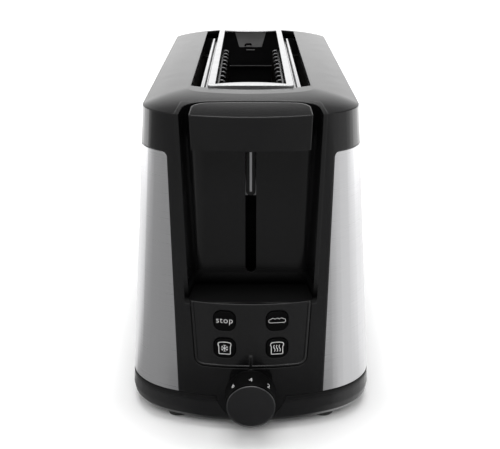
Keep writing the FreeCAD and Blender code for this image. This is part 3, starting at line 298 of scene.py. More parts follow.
def sheet_metal(title, tone, roughness, stretch=(1.0, 1.0, 1.0)):
    """Rolled sheet: long streaks along the rolling direction, and a patchy dull film."""
    material, tree, shader = finish(title, tone, roughness, metallic=1.0)
    dark = tuple(c * METAL_DARK for c in tone)
    film = two_tones(tree, noise(tree, scale=35.0, detail=6.0), dark, tone)
    tree.links.new(film, shader.inputs["Base Color"])
    streaks = noise(tree, scale=420.0, stretch=stretch)
    glossy, dull = (roughness * share for share in METAL_GLOSS)
    tree.links.new(spread(tree, streaks, glossy, dull), shader.inputs["Roughness"])
    relief(tree, shader, streaks, strength=0.12, depth=0.00002, edge=0.0002)
    return material


wear(["end_plate_front", "end_plate_rear", "crumb_tray", "warming_yoke"],
     sheet_metal("plate_steel", (0.02, 0.02, 0.021), roughness=0.5, stretch=(0.05, 1.0, 1.0)))
wear(["carriage_bracket", "magnet_keeper", "magnet_core", "carriage_rod_front", "carriage_rod_rear",
      "dial_shaft"],
     sheet_metal("bracket_steel", (0.55, 0.55, 0.56), roughness=0.3, stretch=(1.0, 1.0, 0.05)))
wear(["reflector_left", "reflector_right"],
     sheet_metal("reflector_sheet", (0.04, 0.04, 0.04), roughness=0.35, stretch=(1.0, 0.04, 1.0)))
wear(["rear_baffle"], sheet_metal("baffle_sheet", (0.5, 0.5, 0.5), roughness=0.5, stretch=(0.05, 1.0, 1.0)))
wear(["base_screws", "end_plate_screws"], sheet_metal("screw_steel", (0.5, 0.5, 0.52), roughness=0.3))


def mica():
    """Pressed mica flakes: overlapping cells, each with its own tint and shine."""
    material, tree, shader = finish("mica_board", (0.12, 0.1, 0.08), roughness=0.45)
    place = tree.nodes.new("ShaderNodeTexCoord")
    flakes = tree.nodes.new("ShaderNodeTexVoronoi")
    flakes.inputs["Scale"].default_value = 160.0
    tree.links.new(place.outputs["Object"], flakes.inputs["Vector"])
    parts = tree.nodes.new("ShaderNodeSeparateColor")
    tree.links.new(flakes.outputs["Color"], parts.inputs["Color"])
    tints = two_tones(tree, parts.outputs["Red"], (0.07, 0.058, 0.045), (0.14, 0.12, 0.09))
    tree.links.new(tints, shader.inputs["Base Color"])
    tree.links.new(spread(tree, parts.outputs["Green"], 0.3, 0.6), shader.inputs["Roughness"])
    relief(tree, shader, flakes.outputs["Distance"], strength=0.2, depth=0.0002)
    return material


wear(["heater_board_left", "heater_board_right"], mica())
wear(["heater_ribbon_left", "heater_ribbon_right"],
     sheet_metal("ribbon_alloy", (0.2, 0.17, 0.15), roughness=0.4, stretch=(1.0, 1.0, 0.1)))

# Bread guides and bread rack. Drawn steel wire, bent and spot-welded: each guide has upright wires between a
# pivot rod and a top rail, and the rack has cross wires on two strips.

NEARLY_STRAIGHT = 1.55
ROOM_SHARE = 0.45


def softened(corners, bend, cuts=6):
    """A flat path whose corners are rounded: each corner becomes an arc between the two points at bend /
    tan(half the corner's angle) from it, round a hub at bend / sin(half the angle) along its bisector. A
    corner that is nearly straight stays, and no arc takes more than a share of the shorter side beside it."""
    corners = np.array(corners, float)
    stops = [corners[:1]]
    for before, here, after in zip(corners, corners[1:], corners[2:]):
        back = (before - here) / np.linalg.norm(before - here)
        ahead = (after - here) / np.linalg.norm(after - here)
        half = math.acos(np.clip(back @ ahead, -1.0, 1.0)) / 2
        if half > NEARLY_STRAIGHT:
            stops.append(here[None])
            continue
        room = min(np.linalg.norm(before - here), np.linalg.norm(after - here)) * ROOM_SHARE
        radius = min(bend, room * math.tan(half))
        bisector = (back + ahead) / np.linalg.norm(back + ahead)
        hub = here + bisector * radius / math.sin(half)
        share = np.linspace(-1.0, 1.0, cuts + 1)[:, None] * (math.pi / 2 - half)
        square = (ahead - back) / np.linalg.norm(ahead - back)
        stops.append(hub + radius * (np.sin(share) * square - np.cos(share) * bisector))
    stops.append(corners[-1:])
    return np.concatenate(stops)


def carried(profile, path, across, closed=False):
    """A flat profile carried along a flat path: its point (u, v) goes to p + u * across + v * (tangent x
    across) at each stop p. Open ends are closed by a face each."""
    path, across = np.array(path, float), np.array(across, float)
    ahead = (np.roll(path, -1, axis=0) - np.roll(path, 1, axis=0)) if closed else np.gradient(path, axis=0)
    ahead /= np.linalg.norm(ahead, axis=1, keepdims=True)
    outward = np.cross(ahead, across)
    profile = np.array(profile, float)
    points = path[:, None] + profile[None, :, :1] * across + profile[None, :, 1:] * outward[:, None]
    rows, count = len(path), len(profile)
    index = np.arange(rows * count).reshape(rows, count)
    if closed:
        index = np.concatenate([index, index[:1]])
    beside = np.roll(index, -1, axis=1)
    faces = np.stack([index[:-1], index[1:], beside[1:], beside[:-1]], axis=-1).reshape(-1, 4).tolist()
    if not closed:
        faces += [index[0].tolist(), index[-1].tolist()]
    return points.reshape(-1, 3), faces


def ring(radius, sides=14):
    """The round section of a wire."""
    turn = np.linspace(0.0, 2 * math.pi, sides, endpoint=False)
    return np.stack([radius * np.cos(turn), radius * np.sin(turn)], axis=-1)


GUIDE_COUNT = 14
GUIDE_PITCH = 0.0184
GUIDE_INSET = 0.006
GUIDE_WIRE = 0.0009
GUIDE_PIVOT = 0.0016
GUIDE_BEND = 0.0035
GUIDE_UPRIGHT_X = 0.0178
GUIDE_TOP_X = 0.0216
GUIDE_RISE = 0.012
GUIDE_OVERHANG = 0.001

guide_steel = sheet_metal("guide_wire", (0.1, 0.1, 0.102), roughness=0.26, stretch=(1.0, 1.0, 0.2))
for side, word in ((1, "right"), (-1, "left")):
    low, high = (np.array(corner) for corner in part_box("bread_guide_" + word))
    pivot_x = side * (max(abs(low[0]), abs(high[0])) - GUIDE_PIVOT)
    pivot_z, top_z = low[2] + GUIDE_PIVOT, high[2] - GUIDE_WIRE
    upright_x, rail_x = side * GUIDE_UPRIGHT_X, side * GUIDE_TOP_X
    first = low[1] + GUIDE_INSET
    last = first + GUIDE_PITCH * (GUIDE_COUNT - 1)
    wire = softened([(pivot_x, first, pivot_z), (upright_x, first, pivot_z + GUIDE_RISE),
                     (upright_x, first, top_z), (rail_x, first, top_z)], GUIDE_BEND)
    forms = [carried(ring(GUIDE_WIRE), wire + (0, i * GUIDE_PITCH, 0), (0, 1, 0)) for i in range(GUIDE_COUNT)]
    pivot_line = [(pivot_x, low[1], pivot_z), (pivot_x, high[1], pivot_z)]
    rail_line = [(rail_x, first - GUIDE_OVERHANG, top_z), (rail_x, last + GUIDE_OVERHANG, top_z)]
    forms += [carried(ring(GUIDE_PIVOT), pivot_line, (1, 0, 0)),
              carried(ring(GUIDE_WIRE), rail_line, (1, 0, 0))]
    guide = shell("guide_wires_" + word, forms, guide_steel)
    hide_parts("bread_guide_" + word)
    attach(guide, "guide_" + word)

RACK_WIRE = 0.0012
RACK_HALF = 0.013
RACK_SUNK = 0.0004
STRIP_OUTER = 0.0084
STRIP_THICK = 0.0012
STRIP_EDGE = 0.0002

low, high = (np.array(corner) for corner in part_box("bread_rack"))
guide_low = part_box("bread_guide_right")[0]
wire_z = high[2] - RACK_WIRE
strip_top = wire_z + RACK_SUNK - RACK_WIRE
forms = []
for i in range(GUIDE_COUNT):
    y = guide_low[1] + GUIDE_INSET + GUIDE_PITCH * (i + 0.5)
    forms.append(carried(ring(RACK_WIRE), [(-RACK_HALF, y, wire_z), (RACK_HALF, y, wire_z)], (0, 0, 1)))
deep, wide = (strip_top - low[2]) / 2, STRIP_THICK / 2
for side in (-1, 1):
    section = [(-wide, -deep + STRIP_EDGE), (-wide, deep - STRIP_EDGE), (-wide + STRIP_EDGE, deep),
               (wide - STRIP_EDGE, deep), (wide, deep - STRIP_EDGE), (wide, -deep + STRIP_EDGE),
               (wide - STRIP_EDGE, -deep), (-wide + STRIP_EDGE, -deep)]
    x, z = side * (STRIP_OUTER - wide), (strip_top + low[2]) / 2
    forms.append(carried(section, [(x, low[1], z), (x, high[1], z)], (1, 0, 0)))
rack = shell("rack_wires", forms, guide_steel)
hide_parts("bread_rack")
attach(rack, "carriage")

# Hook and stop on the baffle, and the lip of the rear end plate. The hook is a short bent wire, and the stop
# and the lip are tabs with a rolled edge, all spot-welded to the sheet behind them.

HOOK_WIRE = 0.0007
HOOK_STOPS = ((-0.0045, 0.0008), (-0.004, 0.0026), (0.0002, 0.0028), (0.0005, 0.0017))
HOOK_BEND = 0.0012
STOP_WIRE = 0.0008
STOP_HALF = 0.0035
STOP_SUNK, STOP_DROP = 0.0002, 0.0024
LIP_WIRE = 0.0005
LIP_HALF = 0.0178
LIP_Z = 0.156

low, high = (np.array(corner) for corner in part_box("rear_baffle"))
face_y = low[1] - HOOK_WIRE
hook_path = softened([(x, face_y, low[2] + rise) for x, rise in HOOK_STOPS], HOOK_BEND)
hook = shell("baffle_hook", [carried(ring(HOOK_WIRE), hook_path, (0, 1, 0))],
             sheet_metal("hook_steel", (0.01, 0.01, 0.01), roughness=0.4))
stop_y, stop_z = high[1] - STOP_WIRE + STOP_SUNK, low[2] - STOP_DROP
stop_line = [(-STOP_HALF, stop_y, stop_z), (STOP_HALF, stop_y, stop_z)]
stop = shell("baffle_stop", [carried(ring(STOP_WIRE), stop_line, (0, 0, 1))],
             sheet_metal("stop_steel", (0.18, 0.18, 0.18), roughness=0.4))
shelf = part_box("end_plate_rear")
lip_y = shelf[0][1] + LIP_WIRE
lip_line = [(-LIP_HALF, lip_y, LIP_Z), (LIP_HALF, lip_y, LIP_Z)]
lip_edge = shell("plate_lip", [carried(ring(LIP_WIRE), lip_line, (0, 0, 1))],
                 sheet_metal("lip_steel", (0.05, 0.05, 0.05), roughness=0.35))
for piece in (hook, stop, lip_edge):
    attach(piece, "casing")

# Pieces of the front compartment: board, switches, control, magnet with its coil, contacts, terminal, and the
# return spring of steel wire on the front rod, drawn at one length on the casing.

wear(["control_board"], moulded("board_green", tone=0.03, roughness=0.4))
wear(["tact_switches", "contact_block", "potentiometer", "rear_slider"],
     moulded("part_black", tone=0.01, roughness=0.45))
wear(["mains_terminal"], moulded("terminal_cream", tone=0.5, roughness=0.5))
wear(["magnet_coil"], sheet_metal("coil_copper", (0.5, 0.2, 0.08), roughness=0.35, stretch=(0.1, 0.1, 1.0)))

SPRING_TURNS = 9
SPRING_WIRE = 0.0006


def helix(middle, radius, low_z, high_z, turns, wire, stops=24, sides=10):
    """A wire along a helix: the middle line is (radius cos t, radius sin t, rise * t), and its round section
    stands on the line's outward and upward directions. Both ends are closed by a face."""
    t = np.linspace(0.0, 2 * math.pi * turns, turns * stops + 1)
    rise = (high_z - low_z - 2 * wire) / t[-1]
    outward = np.stack([np.cos(t), np.sin(t), np.zeros_like(t)], axis=-1)
    line = np.array(middle) + radius * outward + np.array([0, 0, 1]) * (low_z + wire + rise * t)[:, None]
    ahead = np.stack([-radius * np.sin(t), radius * np.cos(t), np.full_like(t, rise)], axis=-1)
    ahead /= np.linalg.norm(ahead, axis=1, keepdims=True)
    upward = np.cross(outward, ahead)
    section = ring(wire, sides)
    points = line[:, None] + section[None, :, :1] * outward[:, None] - section[None, :, 1:] * upward[:, None]
    index = np.arange(len(t) * sides).reshape(len(t), sides)
    beside = np.roll(index, -1, axis=1)
    faces = np.stack([index[:-1], index[1:], beside[1:], beside[:-1]], axis=-1).reshape(-1, 4).tolist()
    return points.reshape(-1, 3), faces + [index[0].tolist(), index[-1].tolist()]


low, high = (np.array(corner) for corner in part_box("return_spring"))
middle = ((low + high) / 2) * (1, 1, 0)
coil_radius = (high[0] - low[0]) / 2 - SPRING_WIRE
spring = shell("spring_wire", [helix(middle, coil_radius, low[2], high[2], SPRING_TURNS, SPRING_WIRE)],
               sheet_metal("spring_steel", (0.5, 0.5, 0.52), roughness=0.3))
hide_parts("return_spring")
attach(spring, "casing")
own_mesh(spring)

# Casing. One satin black moulding: crowned top, band under the sharp top edge, and both end pillars. The
# crown is smooth enough to mirror the room at a low angle.

wear(["main_casing"],
     moulded("casing_black", tone=0.005, roughness=0.15, grain=0.03, edge=0.0008, shine=0.34))

# Lever recess and lever block. The liner is glossy inside, with painted shade that darkens and dulls it at
# its foot, and the block is satin like the casing, moulded over the carriage blade.

# Heights of the painted shade at the foot of the recess.
RECESS_PAINTED_SHADE = ((0.0762, 1.0), (0.0764, 0.0), (0.08, 0.05), (0.088, 1.0))

recess_black = moulded("recess_black", tone=0.004, roughness=0.2, grain=0.03, shine=0.4)
# Painted shade: the liner is darker and duller at the foot of the recess.
wear(["lever_recess"], shaded(recess_black, RECESS_PAINTED_SHADE))
wear(["lever_shoe"], moulded("shoe_black", tone=0.006, roughness=0.5))
wear(["lever_knob"], moulded("lever_black", tone=0.004, roughness=0.18, grain=0.03, edge=0.0012, shine=0.4))

# Control panel and buttons. An inset face in satin black with a raised bead along three of its sides, and
# four keys of a duller, more finely eroded black that follow the bow of the front.

panel_black = moulded("panel_black", tone=0.006, roughness=0.2, grain=0.04, edge=0.0013, shine=0.4)
wear(["control_panel"], panel_black)
wear([n for n in nodes if n.startswith("button_")],
     moulded("key_black", tone=0.001, roughness=0.5, grain=0.3, shine=0.1))

SEAM_Z = 0.0205
CREASE_Z = 0.180
SEAM_HALF, CREASE_HALF = 0.070, 0.0605
SEAM_CORNER, CREASE_CORNER = 0.0425, 0.0355
END_TURN = math.radians(27.4)
END_FLARE = 0.003
KEY_PROUD = 0.0008
BODY_LENGTH = 0.382
BEAD_HALF = (0.0325, 0.0301)
BEAD_Z = (0.0394, 0.0758)
BEAD_BEND = 0.0042
BEAD_WIDE = 0.0012

rear_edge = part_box("main_casing")[1][1] - END_FLARE
front_edge = rear_edge - BODY_LENGTH


def gathered(path, gap=0.002):
    """The path with extra stops, none further apart than a gap. Stops at one place are kept once."""
    steps = np.linalg.norm(np.diff(path, axis=0), axis=1)
    along = np.concatenate([[0.0], np.cumsum(steps)])
    marks = np.concatenate([along, np.linspace(0.0, along[-1], int(along[-1] / gap))])
    marks = np.unique(marks.round(7))
    return np.stack([np.interp(marks, along, path[:, axis]) for axis in range(3)], axis=-1)


def key_face(x, z):
    """How far back the keys' face lies at (x, z): the front of a bow whose radius and place run evenly from
    the seam to the top edge, at front + radius - sqrt(radius squared - x squared)."""
    share = (z - SEAM_Z) / (CREASE_Z - SEAM_Z)
    half = SEAM_HALF + (CREASE_HALF - SEAM_HALF) * share
    corner = SEAM_CORNER + (CREASE_CORNER - SEAM_CORNER) * share
    bow = corner + (half - corner) / math.sin(END_TURN) + KEY_PROUD
    front = front_edge - END_FLARE * (1 - share) - KEY_PROUD
    return front + bow - np.sqrt(bow * bow - x * x)


bead_path = softened([(-BEAD_HALF[0], 0, BEAD_Z[1]), (-BEAD_HALF[1], 0, BEAD_Z[0]),
                      (BEAD_HALF[1], 0, BEAD_Z[0]), (BEAD_HALF[0], 0, BEAD_Z[1])], BEAD_BEND, cuts=12)
bead_points, bead_faces = carried(ring(BEAD_WIDE / 2, sides=16), gathered(bead_path), (0, 1, 0))
bead_points[:, 1] = key_face(bead_points[:, 0], bead_points[:, 2]) + KEY_PROUD + bead_points[:, 1]
bead = shell("panel_bead", [(bead_points, bead_faces)], panel_black)
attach(bead, "casing")

# Signs. White print on the keys: a word, a long loaf, and slices with a frost star and with three waves of
# heat. It follows the bowed face of the keys a hair above them.

KEY_X = 0.0146
KEY_Z = (0.0665, 0.0501)
PRINT_THICK = 0.00005
LOAF_HALF = 0.0036
LOAF_RISE, LOAF_SWELL = 0.0008, 0.0006
LOAF_END, LOAF_DROP = 0.0011, 0.0002
LOAF_LINE, SLICE_LINE, HEAT_LINE = 0.00022, 0.00038, 0.0004
SLICE_SIDE = [(0.0029, -0.0034), (0.0032, -0.0031), (0.0032, 0.0010), (0.0036, 0.0018), (0.0036, 0.0027),
              (0.0030, 0.0033), (0.0015, 0.0036)]
SLICE_BEND = 0.0005
FROST_ARM, FROST_FORK = 0.0019, 0.0014
FROST_BAR = (0.0006, 0.0004)
FROST_LINE, FROST_BAR_LINE = 0.0003, 0.00024
HEAT_HALF, HEAT_SWAY = 0.0019, 0.00038
HEAT_PLACES = (-0.0015, 0.0, 0.0015)


def printed_ink():
    """White print, slightly uneven."""
    material, tree, shader = finish("print_white", (0.6, 0.6, 0.6), roughness=0.6)
    tones = two_tones(tree, noise(tree, scale=900.0), (0.55, 0.55, 0.55), (0.7, 0.7, 0.7))
    tree.links.new(tones, shader.inputs["Base Color"])
    return material


def on_key(points):
    """Lays flat (x, depth, z) points on the keys' face: depth is kept as the height above it."""
    laid = points.copy()
    laid[:, 1] = key_face(points[:, 0], points[:, 2]) - PRINT_THICK + points[:, 1]
    return laid


def stroke(path, width, closed=False):
    """A printed line of one width along a flat path of (x, z) points."""
    path = np.array(path, float)
    flat = np.stack([path[:, 0], np.zeros(len(path)), path[:, 1]], axis=-1)
    section = [(-PRINT_THICK, -width / 2), (PRINT_THICK, -width / 2), (PRINT_THICK, width / 2),
               (-PRINT_THICK, width / 2)]
    points, faces = carried(section, flat, (0, 1, 0), closed)
    return on_key(points), faces


def lettering(words, size, bold=0.0, spacing=1.0):
    """The mesh of a word, centred, as (points in its plane, faces)."""
    curve = bpy.data.curves.new("word", "FONT")
    curve.body = words
    curve.size = size
    curve.space_character = spacing
    curve.align_x = "CENTER"
    curve.align_y = "CENTER"
    curve.offset = bold
    curve.extrude = PRINT_THICK
    curve.resolution_u = 6
    holder = bpy.data.objects.new("word", curve)
    bpy.context.scene.collection.objects.link(holder)
    mesh = bpy.data.meshes.new_from_object(holder.evaluated_get(bpy.context.evaluated_depsgraph_get()))
    points = np.empty(len(mesh.vertices) * 3)
    mesh.vertices.foreach_get("co", points)
    faces = [list(face.vertices) for face in mesh.polygons]
    bpy.data.objects.remove(holder)
    bpy.data.curves.remove(curve)
    bpy.data.meshes.remove(mesh)
    return points.reshape(-1, 3), faces


def loaf(x, z):
    """A long loaf: flat underside, half-round ends, and a top that swells between its cuts by |sin t|."""
    along = np.linspace(0.0, 1.0, 40)
    turn = np.linspace(math.pi / 2, 3 * math.pi / 2, 12)[1:-1]
    bumps = LOAF_RISE + LOAF_SWELL * np.abs(np.sin(3 * math.pi * along))
    top = np.stack([LOAF_HALF * (1 - 2 * along), bumps], axis=-1)
    left = np.stack([-LOAF_HALF + LOAF_END * np.cos(turn), LOAF_END * np.sin(turn) - LOAF_DROP], axis=-1)
    return stroke(np.concatenate([top, left, left[::-1] * (-1, 1)]) + (x, z), LOAF_LINE, closed=True)


def slice_edge(x, z):
    """A slice of bread: straight sides that widen to round shoulders under a bowed top."""
    outline = SLICE_SIDE + [(-u, v) for u, v in SLICE_SIDE[::-1]]
    path = softened([outline[-1], *outline, outline[0]], SLICE_BEND, cuts=3)[1:-1]
    return stroke(path + (x, z), SLICE_LINE, closed=True)


def frost(x, z):
    """A frost star: three crossing lines with a short bar near each of the six ends."""
    marks = []
    for turn in np.arange(6) * math.pi / 3:
        way = np.array([math.sin(turn), math.cos(turn)])
        side = np.array([way[1], -way[0]])
        marks.append(stroke([(x, z), (x, z) + way * FROST_ARM], FROST_LINE))
        fork = (x, z) + way * FROST_FORK
        wide, high = side * FROST_BAR[0], way * FROST_BAR[1]
        marks.append(stroke([fork - wide + high, fork, fork + wide + high], FROST_BAR_LINE))
    return marks


def heat(x, z):
    """Three upright waves: x = middle - sway * sin t while z climbs evenly."""
    climb = np.linspace(-HEAT_HALF, HEAT_HALF, 20)
    sway = HEAT_SWAY * np.sin(climb / HEAT_HALF * math.pi)
    return [stroke(np.stack([x + shift - sway, z + climb], axis=-1), HEAT_LINE) for shift in HEAT_PLACES]


ink = printed_ink()
word_points, word_faces = lettering("stop", size=0.0049, bold=-0.00006, spacing=1.12)
placed = np.stack([word_points[:, 0] - KEY_X, -word_points[:, 2], word_points[:, 1] + KEY_Z[0]], axis=-1)
signs = {
    "stop": [(on_key(placed), word_faces)],
    "baguette": [loaf(KEY_X, KEY_Z[0])],
    "defrost": [slice_edge(-KEY_X, KEY_Z[1]), *frost(-KEY_X, KEY_Z[1])],
    "reheat": [slice_edge(KEY_X, KEY_Z[1]), *heat(KEY_X, KEY_Z[1])],
}
for word, forms in signs.items():
    sign = shell("print_" + word, forms, ink)
    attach(sign, "button_" + word)

# Browning knob. A round moulding on the control's shaft: a dished cap with a fine glossy rim, in a matt black
# skirt printed with the even ones of its seven settings, which the ridge on the casing points at.

DIAL_TILT = math.radians(8.0)
DIAL_AXIS = np.array([0.0, math.cos(DIAL_TILT), math.sin(DIAL_TILT)])
DIAL_UP = np.array([0.0, -math.sin(DIAL_TILT), math.cos(DIAL_TILT)])
DIAL_SIDE = np.array([1.0, 0.0, 0.0])
DIAL_Z = 0.0242
DIAL_SIDES = 96
DIAL_FACE, DIAL_BACK = 0.01335, 0.0145
DIAL_DEEP = 0.014
DIAL_WALL = 0.0018
DISH_MIDDLE, DISH_HALFWAY, DISH_EDGE = 0.0003, 0.0004, 0.0005
DIAL_RIM = 0.0004
CAP_EDGE = 0.0008
CAP_DEEP = 0.0026
SKIRT_NECK, SKIRT_FLARE, SKIRT_SHOULDER = 0.0004, 0.00005, 0.0015
SKIRT_EDGE = (0.0002, 0.0003, 0.0004)
SKIRT_FLOOR = 0.0045
HUB, BORE = 0.006, 0.003
HUB_SHORT = 0.002
BORE_FLOOR = 0.0055
NUMBER_DEPTH = 0.0058
NUMBER_STEP = math.radians(22.5)

low, high = (np.array(corner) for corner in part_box("browning_knob"))
dial_place = np.array([0.0, low[1] + DIAL_FACE * math.sin(DIAL_TILT), DIAL_Z])
cap = [(0.0, DISH_MIDDLE), (DIAL_FACE / 2, DISH_HALFWAY), (DIAL_FACE - CAP_EDGE, DISH_EDGE),
       (DIAL_FACE - CAP_EDGE, CAP_DEEP), (0.0, CAP_DEEP)]
skirt = [(0.0, CAP_DEEP), (DIAL_FACE - SKIRT_NECK, CAP_DEEP), (DIAL_FACE + SKIRT_FLARE, SKIRT_SHOULDER),
         (DIAL_BACK - SKIRT_EDGE[0], DIAL_DEEP - SKIRT_EDGE[2]), (DIAL_BACK - SKIRT_EDGE[1], DIAL_DEEP),
         (DIAL_BACK - DIAL_WALL, DIAL_DEEP), (DIAL_BACK - DIAL_WALL, SKIRT_FLOOR), (HUB, SKIRT_FLOOR),
         (HUB, DIAL_DEEP - HUB_SHORT), (BORE, DIAL_DEEP - HUB_SHORT), (BORE, BORE_FLOOR), (0.0, BORE_FLOOR)]
knob = shell("knob_skirt", [turned(skirt, dial_place, DIAL_AXIS, DIAL_UP, DIAL_SIDES)],
             moulded("skirt_black", tone=0.001, roughness=0.5, shine=0.1), smooth=35.0)
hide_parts("browning_knob")
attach(knob, "dial")
disc = shell("knob_cap", [turned(cap, dial_place, DIAL_AXIS, DIAL_UP, DIAL_SIDES)],
             moulded("cap_black", tone=0.012, roughness=0.2, grain=0.04, edge=0.0, shine=0.5), smooth=35.0)
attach(disc, "dial")


def round_dial(turn):
    """The directions from the dial's axis at each turn from its top."""
    return np.cos(turn)[:, None] * DIAL_UP + np.sin(turn)[:, None] * DIAL_SIDE


turn = np.linspace(0.0, 2 * math.pi, DIAL_SIDES, endpoint=False)
circle = dial_place + DIAL_RIM * DIAL_AXIS + (DIAL_FACE - DIAL_RIM) * round_dial(turn)
edge_ring = shell("knob_rim", [carried(ring(DIAL_RIM), circle, DIAL_AXIS, closed=True)],
                  moulded("rim_black", tone=0.02, roughness=0.16, grain=0.02, edge=0.0, shine=1.0),
                  smooth=60.0)
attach(edge_ring, "dial")


def on_skirt(points, turn):
    """Wraps flat (u, v, height) points round the skirt: turn grows with u over the radius, depth with v."""
    depth = NUMBER_DEPTH + points[:, 1]
    radius = DIAL_FACE + (DIAL_BACK - DIAL_FACE) * depth / DIAL_DEEP
    reach = (radius + points[:, 2])[:, None]
    return dial_place + depth[:, None] * DIAL_AXIS + reach * round_dial(turn + points[:, 0] / radius)


numbers = []
for number in (2, 4, 6):
    points, faces = lettering(str(number), size=0.0046, bold=-0.00005)
    numbers.append((on_skirt(points, (4 - number) * NUMBER_STEP), faces))
scale = shell("print_numbers", numbers, ink)
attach(scale, "dial")

# Side panels. Brushed steel skins in pockets of the casing, wrapped round its corners. The brushing runs
# level round the body.


def brushed_steel():
    """Brushed steel: fine level lines in tone, gloss and relief."""
    material, tree, shader = finish("brushed_steel", (0.66, 0.66, 0.67), roughness=0.3, metallic=1.0)
    lines = noise(tree, scale=3000.0, stretch=(0.006, 0.006, 1.0))
    tree.links.new(two_tones(tree, lines, (0.63, 0.63, 0.64), (0.7, 0.7, 0.71)), shader.inputs["Base Color"])
    tree.links.new(spread(tree, lines, 0.27, 0.33), shader.inputs["Roughness"])
    relief(tree, shader, lines, strength=0.1, depth=0.00001, edge=0.0003)
    return material


wear(["side_panel_left", "side_panel_right"], brushed_steel())

# Slot frame and warming wires. The frame is pressed from chromed sheet, and the wires beside it are chromed
# round bar: an outer rail on two legs, and a thinner rail close inside it.


def chrome():
    """Bright chrome with faint waves and an uneven polish."""
    material, tree, shader = finish("bright_chrome", (0.74, 0.74, 0.75), roughness=0.12, metallic=0.88)
    tree.links.new(spread(tree, noise(tree, scale=90.0, detail=5.0), 0.08, 0.16), shader.inputs["Roughness"])
    relief(tree, shader, noise(tree, scale=200.0), strength=0.02, depth=0.0001, edge=0.0003)
    return material


BUN_WIRE = 0.0013
BUN_THIN = 0.001
BUN_BEND = 0.003
BUN_THIN_X = 0.0270
BUN_THIN_DROP = 0.0021
BUN_THIN_LEG = 0.006
BUN_THIN_SET = 0.003
BUN_FOOT = 0.0069

bright = chrome()
wear(["slot_frame"], bright)
for side, word in ((1, "right"), (-1, "left")):
    low, high = (np.array(corner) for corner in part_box("warming_wire_" + word))
    x = side * (max(abs(low[0]), abs(high[0])) - BUN_WIRE)
    top, foot = high[2] - BUN_WIRE, low[2] + BUN_WIRE
    front, rear = low[1] + BUN_FOOT, high[1] - BUN_WIRE
    rail = softened([(x, low[1], foot), (x, front, foot), (x, front, top), (x, rear, top), (x, rear, foot)],
                    BUN_BEND, cuts=10)
    thin_x, thin_z = side * BUN_THIN_X, top - BUN_THIN_DROP
    thin = softened([(x, front, thin_z - BUN_THIN_LEG), (thin_x, front + BUN_THIN_SET, thin_z),
                     (thin_x, rear - BUN_THIN_SET, thin_z), (x, rear, thin_z - BUN_THIN_LEG)],
                    BUN_BEND, cuts=8)
    lean = np.array([BUN_THIN_LEG, 0.0, side * (BUN_THIN_X - abs(x))])
    lean /= np.linalg.norm(lean)
    wires = shell("warming_rails_" + word, [carried(ring(BUN_WIRE, sides=20), rail, (1, 0, 0)),
                                            carried(ring(BUN_THIN, sides=16), thin, lean)], bright)
    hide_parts("warming_wire_" + word)
    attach(wires, "warming_rack")

# Studio. A pale floor that runs out of view on all sides, soft lamps and a white surround. The floor has a
# painted glow for the camera, faint close round the toaster, and a painted reflection in mirror rays: darker
# in front of the toaster and near it, and brighter behind it, as with painted windows at the back.

FLOOR_REACH = 6.0
FLOOR_TICKS = 9
FLOOR_TONE, FLOOR_PATCH = 0.86, 0.99
BODY_LINE = 0.13
# Ramps of the floor's painted glow for the camera, by distance from the body.
PAINTED_GLOW_NEAR = (0.075, 0.14, 0.04, 0.5)
PAINTED_GLOW_FAR = (0.4, 2.0, 0.0, 0.5)
# Tones and ramps of the floor's painted reflection: a painted sheen beside the body and painted windows far
# behind it.
MIRROR_PIVOT = 0.15
PAINTED_MIRROR_LEFT = ((0.0, 0.2), (0.36, 0.22), (0.61, 0.25), (0.69, 0.8), (1.0, 0.8))
PAINTED_MIRROR_RIGHT = ((0.0, 0.2), (0.33, 0.27), (0.4, 0.56), (0.55, 0.6), (0.64, 0.8), (1.0, 0.8))
PAINTED_MIRROR_NEAR = (0.08, 0.2, 0.5, 1.5)
PAINTED_SHEEN_SIDE, PAINTED_SHEEN_NEAR = (0.25, 0.4, 0.0, 0.9), (0.08, 0.2, 1.0, 0.0)
PAINTED_WINDOW_SIDE, PAINTED_WINDOW_FAR = (0.58, 0.68, 0.0, 1.0), (0.45, 0.8, 0.0, 1.2)


def ramped(tree, value, ends):
    """A value mapped smoothly from one pair of ends to another, held at both ends."""
    return mapped(tree, value, ends, "SMOOTHSTEP")


def from_body(tree):
    """The floor's coordinates (x, |x|, y) and its distance from the middle line of the body."""
    x, y, _ = own_axes(tree)
    wide = maths(tree, "ABSOLUTE", x)
    beyond = maths(tree, "MAXIMUM", maths(tree, "SUBTRACT", maths(tree, "ABSOLUTE", y), BODY_LINE), 0.0)
    squares = maths(tree, "ADD", maths(tree, "POWER", wide, 2.0), maths(tree, "POWER", beyond, 2.0))
    return x, wide, y, maths(tree, "SQRT", squares)


